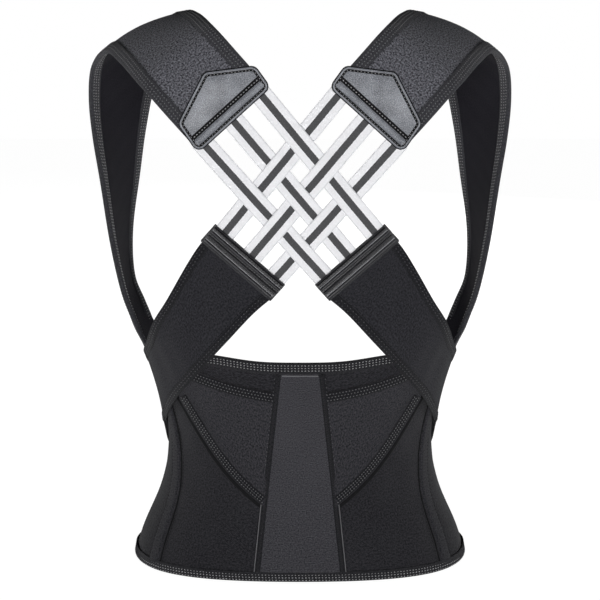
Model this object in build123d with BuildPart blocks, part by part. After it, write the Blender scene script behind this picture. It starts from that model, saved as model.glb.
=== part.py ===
# Posture back brace: a waist belt with compression fans, two diagonal wings that carry a lattice
# of six elastic bands, and two shoulder straps. It stands on its hem as if it were worn.
#
# Millimetres. +X is the wearer's right, +Z is up, and the back of the brace faces -Y.
# The origin is in the plane of the hem, below the middle of the torso.
#
# The belt and the wings are layers round one body form. A layer is named by its two offsets,
# which are distances outward from that form.

import os
from math import atan2, cos, degrees, hypot, pi, radians, sin, sqrt

from build123d import *

os.makedirs("parts", exist_ok=True)

# ------------------------------------------------------------------ sizes

clearance = 0.3              # between two layers that are sewn together
seam_gap = 0.3               # between two panels that meet edge to edge

# body form: height, half width, depth of the back, roundness of the corner between them
form_levels = [
    (0, 155.4, 95, 0.71),
    (30, 145.6, 91, 0.71),
    (62, 131.8, 87, 0.71),
    (100, 123.2, 84, 0.71),
    (138, 123.4, 85, 0.71),
    (172, 129.6, 88, 0.73),
    (203, 139.0, 91, 0.765),
    (236, 150.0, 96, 0.85),
    (270, 157.0, 99, 0.93),
    (305, 160.0, 100, 0.96),
    (340, 161.0, 100, 0.96),
]
side_run = 40                # handles of the curve from the widest place to the hinge line
knee_run = 25
front_radius = 260
front_hinge_half_width = 95  # where the front flaps are hinged
front_depth = 102            # how far the front of the form is from the axis

belt_height = 208.8          # at the spine
belt_side_rise = 6.8         # the top edge is this much higher beside the wings
belt_rise_half_width = 86
belt_front_height = 155
belt_side_start = -70        # y where the top edge starts to fall towards the front

panel_thickness = 2.7
binding_thickness = 0.8
top_binding_height = 10.5
hem_binding_height = 9.5
overlay_thickness = 1.6      # centre panel and fans
tape_thickness = 0.8
strap_thickness = 2.4
side_seam_foot = -67         # y of the side seam at the hem
side_seam_lean = 0.125       # how far it moves forward per unit of height

center_top_half_width = 19.6
center_bottom_half_width = 39.5
center_seam_width = 5
fan_top_inner = 180          # height of the fan's upper edge at the centre panel
fan_bottom_inner = 71
fan_top_outer = 203
fan_bottom_outer = 169
fan_outer = 112
fan_upper_tape_width = 10
fan_lower_tape_width = 8.2

lining_half_width = 52
lining_thickness = 2.2
lumbar_stay_width = 12
lumbar_stay_thickness = 1
lumbar_stay_spacing = 48
lumbar_stay_length = 165
stay_margin = 0.4            # play of a stay in its pocket

side_channel_width = 9
side_channel_top = 158
side_channel_wall = 1.5
side_stay_thickness = 1.2

wing_turn = -73              # y where the wing leaves the back and goes round the side
# heights of the wing's lower and upper edges: over the back (x, z), then round the side (y, z)
wing_back_edges = [
    ((21.4, 274.5), (80.5, 330)),
    ((42, 256.8), (92, 315)),
    ((64, 232.3), (104, 298)),
    ((86, 206.7), (119.5, 272)),
    ((101, 187.8), (130.5, 248)),
    ((109.8, 176), (138.2, 228.5)),
    ((118, 162), (145.5, 208)),
]
wing_side_edges = [
    ((-73, 176), (-73, 228.5)),
    ((-50, 152), (-48.7, 213.5)),
    ((-25, 130.5), (-20, 200)),
    ((10, 110), (12, 181)),
    ((45, 92), (45, 160)),
    ((80, 78), (80, 141)),
    ((110, 70), (110, 128)),
]
wing_tape_end = 60           # y where the edge tapes stop, short of the hinge line

tab_length = 83
tab_width = 20
tab_angle = 41.4
tab_center = (51, 304)
tab_plate_thickness = 1.2
tab_overlap = 9              # how far the wing reaches under the tab
wing_tape_share = 0.12       # width of an edge tape as a share of the wing's width

lattice_y = -107.8
band_width = 19.4
band_thickness = 1.3
band_overlap = 7             # how far a band's end reaches under the tab or the patch
band_tab_points = [(21.3, 290.8), (42.1, 311.0), (65.5, 333.0)]
band_patch_points = [(83.2, 408.7), (59.0, 431.8), (33.3, 453.5)]
band_ramp = 10               # length over which a band returns to the middle at its ends

patch_corners = [(90.2, 403.3), (26.0, 461.3), (39.5, 480.0), (84.0, 474.5), (107.6, 429.0)]
patch_corner_radius = 6
patch_thickness = 1.4
patch_inner_height = 22

shoulder_width = 84
shoulder_binding_width = 12.5
shoulder_pivot = (8, 264)    # y and z of the line that the shoulders roll about
shoulder_pivot_radius = 50
anchor_gap = 0.4
anchor_middle = 4            # y of the middle of the strap's sewn end
anchor_foot = 166            # height of the strap's sewn end, under the wing
anchor_thickness = 1.6
shoulder_steps = 2           # sections for each point of the route
shoulder_clearance = 0.45
# shoulder strap: middle of the strap, direction across it towards the neck, and its camber
shoulder_route = [
    ((66, lattice_y, 441), (-0.742, 0, 0.670), 0.15),
    ((78.5, lattice_y, 455), (-0.748, 0, 0.663), 0.15),
    ((90, -107.4, 468), (-0.755, 0, 0.655), 0.2),
    ((101, -103.2, 480), (-0.77, 0.01, 0.635), 0.5),
    ((112, -93.5, 490.5), (-0.80, 0.03, 0.60), 1.6),
    ((128, -61, 503), (-0.86, 0.10, 0.50), 4),
    ((144, -15, 507), (-0.89, 0.22, 0.40), 7),
    ((161, 27, 482), (-0.83, 0.48, 0.28), 5),
    ((171, 50, 442), (-0.68, 0.72, 0.14), 3),
    ((174.5, 57, 400), (-0.51, 0.85, 0.04), 2),
    ((174.5, 54, 355), (-0.34, 0.94, 0), 2),
    ((172.5, 36, 303), (-0.14, 0.99, 0), 1.5),
    ((166, 13, 262), (-0.03, 1, 0), 2),
    ((158, 5, 236), (-0.03, 1, 0), 4.5),
    ((147.5, 4, 206), (-0.03, 1, 0), 7),
]

closure_x = 20               # where the two front flaps meet
tongue_reach = 38            # how far the loop tongue runs under the left flap
tongue_root = 29             # how far it is sewn under the right flap
tongue_thickness = 1.2
closure_inset = 14           # from the belt's edges to the closure's fastening fabrics
closure_hook_width = 32
closure_hook_thickness = 0.8
front_strap_low = 78
front_strap_high = 139
pull_hinge_x = 75
pull_reach_left = 60
pull_reach_right = 44
hook_thickness = 1.2
loop_thickness = 1.2
front_strap_inset = 5        # from the strap's edges to its hook pad

# ------------------------------------------------------------------ layers, as offsets

panel_inner = binding_thickness + clearance
panel_outer = panel_inner + panel_thickness
binding_outer = panel_outer + clearance + binding_thickness
overlay_inner = panel_outer + clearance
overlay_outer = overlay_inner + overlay_thickness
overlay_tape_inner = overlay_outer + clearance
overlay_tape_outer = overlay_tape_inner + tape_thickness
wing_inner = overlay_tape_outer + clearance
wing_outer = wing_inner + strap_thickness
wing_tape_inner = wing_outer + clearance
wing_tape_outer = wing_tape_inner + tape_thickness

form_top = form_levels[-1][0]
front_center_y = front_depth - front_radius
hinge_y = front_center_y + sqrt(front_radius**2 - front_hinge_half_width**2)
hinge_normal = (front_hinge_half_width / front_radius, (hinge_y - front_center_y) / front_radius)
far = 400                    # well outside the brace, for cutting shapes


def form_curve(half_width, depth, roundness, offset):
    # the right half of the body form at one height, moved outward by offset: control points
    # of the back from the widest place to the spine, and of the side to the hinge line
    wide = half_width + offset
    deep = depth + offset
    back = [(wide, 0), (wide, -roundness * deep), (roundness * wide, -deep), (0, -deep)]
    hinge = (front_hinge_half_width + offset * hinge_normal[0], hinge_y + offset * hinge_normal[1])
    knee = (hinge[0] + knee_run * hinge_normal[1], hinge[1] - knee_run * hinge_normal[0])
    return back, [(wide, 0), (wide, side_run), knee, hinge]


def form_layer(inner, outer):
    # the right half of a wall round the body form between two offsets, from spine to hinge line
    with BuildPart() as layer:
        for height, half_width, depth, roundness in form_levels:
            back_in, side_in = form_curve(half_width, depth, roundness, inner)
            back_out, side_out = form_curve(half_width, depth, roundness, outer)
            with BuildSketch(Plane.XY.offset(height)):
                with BuildLine():
                    Bezier(*back_out)
                    Line(back_out[-1], back_in[-1])
                    Bezier(*back_in)
                    Bezier(*side_in)
                    Line(side_in[-1], side_out[-1])
                    Bezier(*side_out)
                make_face()
        loft()
    return layer.part


def front_layer(inner, outer, start, end, bottom, top):
    # a wall of the front flaps between two offsets and two places across the front
    with BuildPart() as layer:
        with BuildSketch(Plane.XY.offset(bottom)):
            with Locations((0, front_center_y)):
                Circle(front_radius + outer)
                Circle(front_radius + inner, mode=Mode.SUBTRACT)
            with BuildLine():
                Polyline((0, front_center_y), radial(start), radial(end), (0, front_center_y))
            make_face(mode=Mode.INTERSECT)
        extrude(amount=top - bottom)
    return layer.part


def radial(place):
    # a point far out on the radial line that crosses the front of the form at x = place
    direction = (place / front_radius, sqrt(1 - (place / front_radius) ** 2))
    return (far * 2 * direction[0], front_center_y + far * 2 * direction[1])


def belt_zone(drop, bottom):
    # the space under the belt's top edge lowered by drop, and above bottom
    top = belt_height - drop
    side = top + belt_side_rise
    front = belt_front_height - drop
    rise = belt_rise_half_width
    with BuildPart() as zone:
        with BuildSketch(Plane.XZ.offset(-belt_side_start)):
            with BuildLine():
                shoulder = top + belt_side_rise * 0.27
                Spline((-rise, side), (-rise * 0.54, shoulder), (0, top), (rise * 0.54, shoulder),
                       (rise, side), tangents=((1, 0), (1, 0)))
                Polyline((rise, side), (far, side), (far, bottom), (-far, bottom), (-far, side),
                         (-rise, side))
            make_face()
        extrude(amount=far)
        with BuildSketch(Plane.YZ):
            with BuildLine():
                Spline((belt_side_start, side), (0, front + (side - front) * 0.53),
                       (hinge_y, front), tangents=((1, -0.15), (1, 0)))
                Polyline((hinge_y, front), (far, front), (far, bottom), (belt_side_start, bottom),
                         (belt_side_start, side))
            make_face()
        extrude(amount=far, both=True)
    return zone.part


def save(solid, name):
    solid.label = name
    export_step(solid, f"parts/{name}.step")
    print(name, round(solid.volume))


def save_pair(solid, name):
    # the piece on the wearer's right, and its mirror image on the left
    save(solid, f"{name}_right")
    with BuildPart() as other:
        mirror(solid, about=Plane.YZ)
    save(other.part, f"{name}_left")


# ------------------------------------------------------------------ belt

panel_layer = form_layer(panel_inner, panel_outer)
binding_layer = form_layer(0, binding_outer)
binding_slot = form_layer(binding_thickness, panel_outer + clearance)
side_seam = Plane(origin=(0, side_seam_foot, 0), x_dir=(1, 0, 0), z_dir=(0, 1, -side_seam_lean))

with BuildPart() as belt_wall:
    add(panel_layer)
    add(belt_zone(panel_inner, panel_inner), mode=Mode.INTERSECT)

with BuildPart() as back_panel:
    add(belt_wall.part)
    split(bisect_by=Plane.YZ.offset(seam_gap / 2), keep=Keep.TOP)
    split(bisect_by=side_seam.offset(-seam_gap / 2), keep=Keep.BOTTOM)
save_pair(back_panel.part, "back_panel")

with BuildPart() as side_panel:
    add(belt_wall.part)
    split(bisect_by=side_seam.offset(seam_gap / 2), keep=Keep.TOP)
save_pair(side_panel.part, "side_panel")

with BuildPart() as top_slot:
    add(binding_slot)
    add(belt_zone(binding_thickness, 0), mode=Mode.INTERSECT)

with BuildPart() as top_binding:
    add(binding_layer)
    add(belt_zone(0, 0), mode=Mode.INTERSECT)
    add(belt_zone(top_binding_height, 0), mode=Mode.SUBTRACT)
    add(top_slot.part, mode=Mode.SUBTRACT)
    mirror(about=Plane.YZ)
save(top_binding.part, "top_binding")

with BuildPart() as hem_slot:
    add(binding_slot)
    split(bisect_by=Plane.XY.offset(binding_thickness), keep=Keep.TOP)

with BuildPart() as hem_binding:
    add(binding_layer)
    split(bisect_by=Plane.XY.offset(hem_binding_height), keep=Keep.BOTTOM)
    add(hem_slot.part, mode=Mode.SUBTRACT)
    mirror(about=Plane.YZ)
save(hem_binding.part, "hem_binding")

# ------------------------------------------------------------------ inside of the back

lining_outer = panel_inner - clearance
lining_inner = lining_outer - lining_thickness
stay_inner = lining_outer - lumbar_stay_thickness
lining_low = hem_binding_height + 2
lining_high = belt_height - top_binding_height - 2
lumbar_middle = (lining_low + lining_high) / 2


def lumbar_strip(inner, outer, margin):
    # one stay, or the pocket round it, on the right of the spine
    with BuildPart() as strip:
        add(form_layer(inner, outer))
        with BuildSketch(Plane.XZ):
            with Locations((lumbar_stay_spacing / 2, lumbar_middle)):
                Rectangle(lumbar_stay_width + 2 * margin, lumbar_stay_length + 2 * margin)
        extrude(amount=far, mode=Mode.INTERSECT)
    return strip.part


save_pair(lumbar_strip(stay_inner, lining_outer, 0), "lumbar_stay")

with BuildPart() as lumbar_lining:
    add(form_layer(lining_inner, lining_outer))
    with BuildSketch(Plane.XZ):
        with Locations((0, lumbar_middle)):
            Rectangle(2 * lining_half_width, lining_high - lining_low)
    extrude(amount=far, mode=Mode.INTERSECT)
    add(lumbar_strip(stay_inner - clearance, lining_outer + clearance, stay_margin),
        mode=Mode.SUBTRACT)
    mirror(about=Plane.YZ)
save(lumbar_lining.part, "lumbar_lining")

# ------------------------------------------------------------------ outside of the back

overlay_layer = form_layer(overlay_inner, overlay_outer)
overlay_tape_layer = form_layer(overlay_tape_inner, overlay_tape_outer)
center_low = hem_binding_height + seam_gap
center_high = belt_height - top_binding_height - seam_gap


def center_edge(height):
    # half width of the centre panel at a height
    share = (center_high - height) / (center_high - center_low)
    return center_top_half_width + share * (center_bottom_half_width - center_top_half_width)


def back_cut(corners):
    # a shape drawn on the back, as a cutter through its layers
    with BuildPart() as cut:
        with BuildSketch(Plane.XZ):
            Polygon(*corners, align=None)
        extrude(amount=far)
    return cut.part


with BuildPart() as center_panel:
    add(overlay_layer)
    add(back_cut([(0, center_low), (center_bottom_half_width, center_low),
                  (center_top_half_width, center_high), (0, center_high)]), mode=Mode.INTERSECT)
    mirror(about=Plane.YZ)
save(center_panel.part, "center_panel")

half_seam = center_seam_width / 2
with BuildPart() as center_seam_tape:
    add(overlay_tape_layer)
    add(back_cut([(center_bottom_half_width - half_seam, center_low),
                  (center_bottom_half_width + half_seam, center_low),
                  (center_top_half_width + half_seam, center_high),
                  (center_top_half_width - half_seam, center_high)]), mode=Mode.INTERSECT)
save_pair(center_seam_tape.part, "center_seam_tape")


def fan_cut(inner_gap, drop_top, raise_bottom):
    # the fan's outline, held back from the centre panel and narrowed from above or below
    top = [(center_edge(fan_top_inner) + inner_gap, fan_top_inner - drop_top),
           (fan_outer, fan_top_outer - drop_top)]
    bottom = [(fan_outer, fan_bottom_outer + raise_bottom),
              (center_edge(fan_bottom_inner) + inner_gap, fan_bottom_inner + raise_bottom)]
    return back_cut([*top, *bottom])


fan_top_slope = atan2(fan_top_outer - fan_top_inner, fan_outer - center_edge(fan_top_inner))
fan_bottom_slope = atan2(fan_bottom_outer - fan_bottom_inner,
                         fan_outer - center_edge(fan_bottom_inner))
upper_drop = fan_upper_tape_width / cos(fan_top_slope)
lower_raise = fan_lower_tape_width / cos(fan_bottom_slope)

with BuildPart() as fan:
    add(overlay_layer)
    add(fan_cut(seam_gap, 0, 0), mode=Mode.INTERSECT)
save_pair(fan.part, "fan")

with BuildPart() as fan_tapes:
    add(overlay_tape_layer)
    add(fan_cut(half_seam + seam_gap, 0, 0), mode=Mode.INTERSECT)
    add(fan_cut(0, upper_drop, lower_raise), mode=Mode.SUBTRACT)
save_pair(fan_tapes.part, "fan_tapes")

# ------------------------------------------------------------------ side stays

channel_low = hem_binding_height + seam_gap
channel_outer = overlay_inner + side_stay_thickness + 2 * clearance + binding_thickness


def side_strip(inner, outer, inset):
    # a strip in front of the side seam, narrowed by inset all round
    def along(height, advance):
        return (side_seam_foot + side_seam_lean * height + advance, height)

    low = channel_low + inset
    high = side_channel_top - inset
    with BuildPart() as strip:
        add(form_layer(inner, outer))
        with BuildSketch(Plane.YZ):
            Polygon(along(low, inset), along(low, side_channel_width - inset),
                    along(high, side_channel_width - inset), along(high, inset), align=None)
        extrude(amount=far, mode=Mode.INTERSECT)
    return strip.part


with BuildPart() as side_stay_channel:
    add(side_strip(overlay_inner, channel_outer, 0))
    add(side_strip(overlay_inner - clearance, overlay_inner + side_stay_thickness + 2 * clearance,
                   side_channel_wall), mode=Mode.SUBTRACT)
save_pair(side_stay_channel.part, "side_stay_channel")
save_pair(side_strip(overlay_inner + clearance, overlay_inner + clearance + side_stay_thickness,
                     side_channel_wall + stay_margin), "side_stay")

# ------------------------------------------------------------------ wings and their tabs


def wing_strip(low, high):
    # the wing's course round the torso between two shares of its width, as a cutter
    def edge(route, share):
        return [(a[0] + share * (b[0] - a[0]), a[1] + share * (b[1] - a[1])) for a, b in route]

    with BuildPart() as strip:
        for plane, route in ((Plane.XZ.offset(-wing_turn), wing_back_edges),
                             (Plane.YZ, wing_side_edges)):
            lower = edge(route, low)
            upper = edge(route, high)
            with BuildSketch(plane):
                with BuildLine():
                    Spline(*lower)
                    Line(lower[-1], upper[-1])
                    Spline(*upper)
                    Line(upper[0], lower[0])
                make_face()
            extrude(amount=far)
    return strip.part


def tab_cut(grow, raised=0):
    # the tab's outline as a cutter, moved up along the wing by raised
    with BuildPart() as cut:
        with BuildSketch(Plane.XZ):
            with Locations(tab_center):
                with Locations(Rotation(0, 0, tab_angle)):
                    with Locations((0, raised)):
                        RectangleRounded(tab_length + 2 * grow, tab_width + 2 * grow, 2)
        extrude(amount=far)
    return cut.part


with BuildPart() as wing:
    add(form_layer(wing_inner, wing_outer))
    add(wing_strip(0, 1), mode=Mode.INTERSECT)
save_pair(wing.part, "wing")

with BuildPart() as wing_tapes:
    add(form_layer(wing_tape_inner, wing_tape_outer))
    add(wing_strip(0, 1), mode=Mode.INTERSECT)
    add(wing_strip(wing_tape_share, 1 - wing_tape_share), mode=Mode.SUBTRACT)
    add(tab_cut(seam_gap), mode=Mode.SUBTRACT)
    add(tab_cut(seam_gap, tab_width), mode=Mode.SUBTRACT)
    split(bisect_by=Plane.XZ.offset(-wing_tape_end), keep=Keep.TOP)
save_pair(wing_tapes.part, "wing_tapes")

for name, inner, outer in (
    ("tab_inner", wing_inner - clearance - tab_plate_thickness, wing_inner - clearance),
    ("tab_outer", wing_outer + clearance, wing_outer + clearance + tab_plate_thickness),
):
    with BuildPart() as tab:
        add(form_layer(inner, outer))
        add(tab_cut(0), mode=Mode.INTERSECT)
    save_pair(tab.part, name)

# ------------------------------------------------------------------ band lattice

band_lift = (band_thickness + clearance) / 2
bands = []
for side, letter in ((1, "a"), (-1, "b")):
    for index, (tab_point, patch_point) in enumerate(zip(band_tab_points, band_patch_points)):
        start = Vector(side * tab_point[0], lattice_y, tab_point[1])
        end = Vector(-side * patch_point[0], lattice_y, patch_point[1])
        bands.append((letter, index + 1, start, end))


def crossing(start, end, other_start, other_end):
    # distance along the first line to where it crosses the second
    along = (end - start).normalized()
    other = (other_end - other_start).normalized()
    gap = other_start - start
    cross = along.X * other.Z - along.Z * other.X
    return (gap.X * other.Z - gap.Z * other.X) / cross, abs(cross)


for letter, number, start, end in bands:
    along = (end - start).normalized()
    length = (end - start).length
    course = []
    for other_letter, other_number, other_start, other_end in bands:
        if other_letter == letter:
            continue
        place, sine = crossing(start, end, other_start, other_end)
        half_flat = band_width / 2 / sine + 1
        a_is_over = (number + other_number) % 2 == 0
        lift = -band_lift if a_is_over == (letter == "a") else band_lift
        course.append((place - half_flat, lift))
        course.append((place + half_flat, lift))
    course.sort()
    first = (course[0][0] - band_ramp, 0)
    last = (course[-1][0] + band_ramp, 0)
    course = [(-band_overlap, 0), first, *course, last, (length + band_overlap, 0)]
    under = [(place, lift - band_thickness / 2) for place, lift in course]
    over = [(place, lift + band_thickness / 2) for place, lift in reversed(course)]
    with BuildPart() as band:
        with BuildSketch(Plane(origin=start, x_dir=along, z_dir=(-along.Z, 0, along.X))):
            Polygon(*under, *over, align=None)
        extrude(amount=band_width / 2, both=True)
    save(band.part, f"band_{letter}{number}")

# ------------------------------------------------------------------ patches

patch_seat = strap_thickness / 2 + clearance
patch_foot = ((patch_corners[0][0] + patch_corners[1][0]) / 2,
              (patch_corners[0][1] + patch_corners[1][1]) / 2)
patch_foot_run = (patch_corners[1][0] - patch_corners[0][0],
                  patch_corners[1][1] - patch_corners[0][1])
patch_foot_angle = degrees(atan2(patch_foot_run[1], patch_foot_run[0]))

with BuildPart() as patch_outer:
    with BuildSketch(Plane.XZ.offset(patch_seat - lattice_y)):
        Polygon(*patch_corners, align=None)
        fillet(vertices(), patch_corner_radius)
    extrude(amount=patch_thickness)
save_pair(patch_outer.part, "patch_outer")

with BuildPart() as patch_inner:
    with BuildSketch(Plane.XZ.offset(-patch_seat - lattice_y)):
        Polygon(*patch_corners, align=None)
        fillet(vertices(), patch_corner_radius)
        with Locations(patch_foot):
            Rectangle(4 * patch_inner_height * 2, 2 * patch_inner_height,
                      rotation=patch_foot_angle, mode=Mode.INTERSECT)
    extrude(amount=-patch_thickness)
save_pair(patch_inner.part, "patch_inner")

# ------------------------------------------------------------------ shoulder straps


def between(values, index, share):
    # a smooth course through values, at a share of the way from one to the next
    before, start, end, after = (values[min(max(index + step, 0), len(values) - 1)]
                                 for step in (-1, 0, 1, 2))
    return (start * (2 * share**3 - 3 * share**2 + 1) + end * (3 * share**2 - 2 * share**3)
            + (end - before) / 2 * (share**3 - 2 * share**2 + share)
            + (after - start) / 2 * (share**3 - share**2))


route_middles = [Vector(middle) for middle, across, camber in shoulder_route]
route_across = [Vector(across) for middle, across, camber in shoulder_route]
route_cambers = [camber for middle, across, camber in shoulder_route]
shoulder_planes = []
for step in range((len(shoulder_route) - 1) * shoulder_steps + 1):
    index, part = divmod(step, shoulder_steps)
    share = part / shoulder_steps
    middle = between(route_middles, index, share)
    width_way = between(route_across, index, share).normalized()
    if share:
        travel = between(route_middles, index, share + 0.01) - between(route_middles, index, share - 0.01)
    else:
        last = len(route_middles) - 1
        travel = route_middles[min(index + 1, last)] - route_middles[max(index - 1, 0)]
    travel = (travel - width_way * travel.dot(width_way)).normalized()
    shoulder_planes.append((Plane(origin=middle, x_dir=width_way, z_dir=travel),
                            between(route_cambers, index, share)))

half_shoulder = shoulder_width / 2


def cambered(points, camber):
    # points of a strap's cross section, lowered towards its edges
    return [(across, out - camber * (across / half_shoulder) ** 2) for across, out in points]


def binding_section(edge):
    # a folded binding round the strap's edge at across = edge
    way = 1 if edge > 0 else -1
    leg = edge - way * shoulder_binding_width
    fold = edge - way * binding_thickness
    seat = strap_thickness / 2 + shoulder_clearance
    face = seat + binding_thickness
    return [(leg, face), (edge, face), (edge, -face), (leg, -face),
            (leg, -seat), (fold, -seat), (fold, seat), (leg, seat)]


with BuildPart() as below_pivot:
    with BuildSketch(Plane.YZ):
        with Locations(shoulder_pivot):
            Rectangle(far, far, align=(Align.CENTER, Align.MAX))
            Circle(shoulder_pivot_radius, mode=Mode.SUBTRACT)
    extrude(amount=far)

with BuildPart() as shoulder_strap:
    edge = half_shoulder - binding_thickness - shoulder_clearance
    leg = half_shoulder - shoulder_binding_width
    rise = strap_thickness / 2
    for plane, camber in shoulder_planes:
        top = [(across, rise) for across in (-edge, -leg, 0, leg, edge)]
        bottom = [(across, -rise) for across, out in reversed(top)]
        with BuildSketch(plane):
            Polygon(*cambered(top + bottom, camber), align=None)
    loft()
    add(below_pivot.part, mode=Mode.SUBTRACT)
save_pair(shoulder_strap.part, "shoulder_strap")

with BuildPart() as patch_seat_cut:
    with BuildSketch(Plane.XZ.offset(-lattice_y - far / 20)):
        Polygon(*patch_corners, align=None)
        offset(amount=seam_gap, kind=Kind.ARC)
    extrude(amount=far / 10)

for name, edge in (("neck_binding", half_shoulder), ("arm_binding", -half_shoulder)):
    with BuildPart() as shoulder_binding:
        for plane, camber in shoulder_planes:
            with BuildSketch(plane):
                Polygon(*cambered(binding_section(edge), camber), align=None)
        loft()
        add(below_pivot.part, mode=Mode.SUBTRACT)
        add(patch_seat_cut.part, mode=Mode.SUBTRACT)
    save_pair(shoulder_binding.part, name)

with BuildPart() as strap_anchor:
    add(form_layer(wing_inner - clearance - anchor_thickness, wing_inner - clearance))
    with BuildSketch(Plane.YZ):
        with Locations((anchor_middle, anchor_foot)):
            Rectangle(shoulder_width, shoulder_pivot[1] - anchor_foot - 15,
                      align=(Align.CENTER, Align.MIN))
        with Locations(shoulder_pivot):
            Circle(shoulder_pivot_radius + anchor_gap, mode=Mode.SUBTRACT)
    extrude(amount=far, mode=Mode.INTERSECT)
save_pair(strap_anchor.part, "strap_anchor")

# ------------------------------------------------------------------ front flaps and closure

hook_pad_inner = wing_inner - clearance - hook_thickness
loop_outer = hook_pad_inner - clearance
half_gap = seam_gap / 2
flap_spans = {
    "left": (-front_hinge_half_width + seam_gap, closure_x - half_gap),
    "right": (closure_x + half_gap, front_hinge_half_width - seam_gap),
}

for side, (start, end) in flap_spans.items():
    panel = front_layer(panel_inner, panel_outer, start, end,
                        panel_inner, belt_front_height - panel_inner)
    save(panel, f"front_flap_{side}")
    with BuildPart() as flap_bindings:
        add(front_layer(0, binding_outer, start, end, 0, belt_front_height))
        add(front_layer(-1, binding_outer + 1, start - 1, end + 1, hem_binding_height,
                        belt_front_height - top_binding_height), mode=Mode.SUBTRACT)
        add(front_layer(binding_thickness, panel_outer + clearance, start - 1, end + 1,
                        binding_thickness, belt_front_height - binding_thickness),
            mode=Mode.SUBTRACT)
    save(flap_bindings.part, f"flap_bindings_{side}")

closure_low = closure_inset
closure_high = belt_front_height - closure_inset
closure_hook_outer = panel_inner - clearance
closure_hook_inner = closure_hook_outer - closure_hook_thickness
tongue_outer = closure_hook_inner - clearance
with BuildPart() as loop_tongue:
    add(front_layer(tongue_outer - tongue_thickness, tongue_outer, closure_x - tongue_reach,
                    closure_x + tongue_root, closure_low, closure_high))
    add(front_layer(tongue_outer, closure_hook_outer, closure_x + seam_gap * 5,
                    closure_x + tongue_root, closure_low, closure_high))
save(loop_tongue.part, "loop_tongue")

hook_end = closure_x - 2 * half_gap - 1
save(front_layer(closure_hook_inner, closure_hook_outer, hook_end - closure_hook_width, hook_end,
                 closure_low, closure_high), "closure_hook_patch")

for side, way, reach in (("left", -1, pull_reach_left), ("right", 1, pull_reach_right)):
    hinge = way * pull_hinge_x

    def front_strip(inner, outer, near, far_end, inset):
        # a strip of the front strap between two distances from the spine's side, near to far end
        span = sorted((way * near, way * far_end))
        return front_layer(inner, outer, *span, front_strap_low + inset,
                           front_strap_high - inset)

    with BuildPart() as strap_base:
        add(front_strip(wing_inner, wing_outer, pull_hinge_x + half_gap,
                        front_hinge_half_width - seam_gap, 0))
        add(front_strip(overlay_inner, wing_inner, pull_hinge_x + 2,
                        front_hinge_half_width - 2, front_strap_inset))
    save(strap_base.part, f"strap_base_{side}")
    save(front_strip(wing_inner, wing_outer, pull_hinge_x - reach, pull_hinge_x - half_gap, 0),
         f"pull_end_{side}")
    save(front_strip(hook_pad_inner, wing_inner - clearance,
                     pull_hinge_x - reach + front_strap_inset, pull_hinge_x - 2,
                     front_strap_inset), f"pull_hook_{side}")
    save(front_strip(overlay_inner, loop_outer, pull_hinge_x - reach - front_strap_inset + 1,
                     pull_hinge_x - 1, 0), f"loop_field_{side}")
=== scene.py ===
import bpy
import math
import numpy as np
from mathutils import Matrix, Vector


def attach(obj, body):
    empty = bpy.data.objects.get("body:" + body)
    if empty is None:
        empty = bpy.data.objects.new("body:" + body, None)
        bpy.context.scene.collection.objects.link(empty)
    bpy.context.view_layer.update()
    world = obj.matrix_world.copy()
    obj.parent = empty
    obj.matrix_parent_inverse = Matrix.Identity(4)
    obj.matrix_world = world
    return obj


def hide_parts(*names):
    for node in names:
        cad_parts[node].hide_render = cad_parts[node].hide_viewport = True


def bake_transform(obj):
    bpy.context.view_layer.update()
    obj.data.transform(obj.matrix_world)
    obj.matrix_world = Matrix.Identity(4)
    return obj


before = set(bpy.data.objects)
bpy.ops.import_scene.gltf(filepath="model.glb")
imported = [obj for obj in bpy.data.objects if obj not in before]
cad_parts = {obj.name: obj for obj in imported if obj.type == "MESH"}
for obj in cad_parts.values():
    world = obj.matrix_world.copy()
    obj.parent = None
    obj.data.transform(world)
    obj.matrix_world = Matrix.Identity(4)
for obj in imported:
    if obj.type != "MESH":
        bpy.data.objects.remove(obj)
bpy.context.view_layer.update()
bpy.ops.object.select_all(action="DESELECT")

mm = 0.001
sides = {"right": 1, "left": -1}

# the torso that the belt and the wings lie on, in mm:
# height, half width, depth of the back, roundness of the corner between them
torso = {
    "levels": [(0, 155.4, 95, 0.71), (30, 145.6, 91, 0.71), (62, 131.8, 87, 0.71),
               (100, 123.2, 84, 0.71), (138, 123.4, 85, 0.71), (172, 129.6, 88, 0.73),
               (203, 139.0, 91, 0.765), (236, 150.0, 96, 0.85), (270, 157.0, 99, 0.93),
               (305, 160.0, 100, 0.96), (340, 161.0, 100, 0.96)],
    "sideRun": 40,
    "kneeRun": 25,
    "frontRadius": 260,
    "frontHinge": 95,
    "frontDepth": 102,
}
torso["frontMiddle"] = torso["frontDepth"] - torso["frontRadius"]
torso["hingeY"] = torso["frontMiddle"] + math.sqrt(torso["frontRadius"] ** 2 - torso["frontHinge"] ** 2)


def smoothCourse(places, values, wanted):
    # a natural cubic curve through values, read at the wanted places
    places, values = np.array(places, float), np.array(values, float)
    count = len(places)
    step = np.diff(places)
    system = np.eye(count)
    right = np.zeros(count)
    for i in range(1, count - 1):
        system[i, i - 1:i + 2] = step[i - 1], 2 * (step[i - 1] + step[i]), step[i]
        right[i] = 6 * ((values[i + 1] - values[i]) / step[i] - (values[i] - values[i - 1]) / step[i - 1])
    bend = np.linalg.solve(system, right)
    wanted = np.clip(np.array(wanted, float), places[0], places[-1])
    i = np.clip(np.searchsorted(places, wanted) - 1, 0, count - 2)
    a, b, h = places[i + 1] - wanted, wanted - places[i], step[i]
    return (bend[i] * a ** 3 / (6 * h) + bend[i + 1] * b ** 3 / (6 * h)
            + (values[i] / h - bend[i] * h / 6) * a + (values[i + 1] / h - bend[i + 1] * h / 6) * b)


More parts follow.
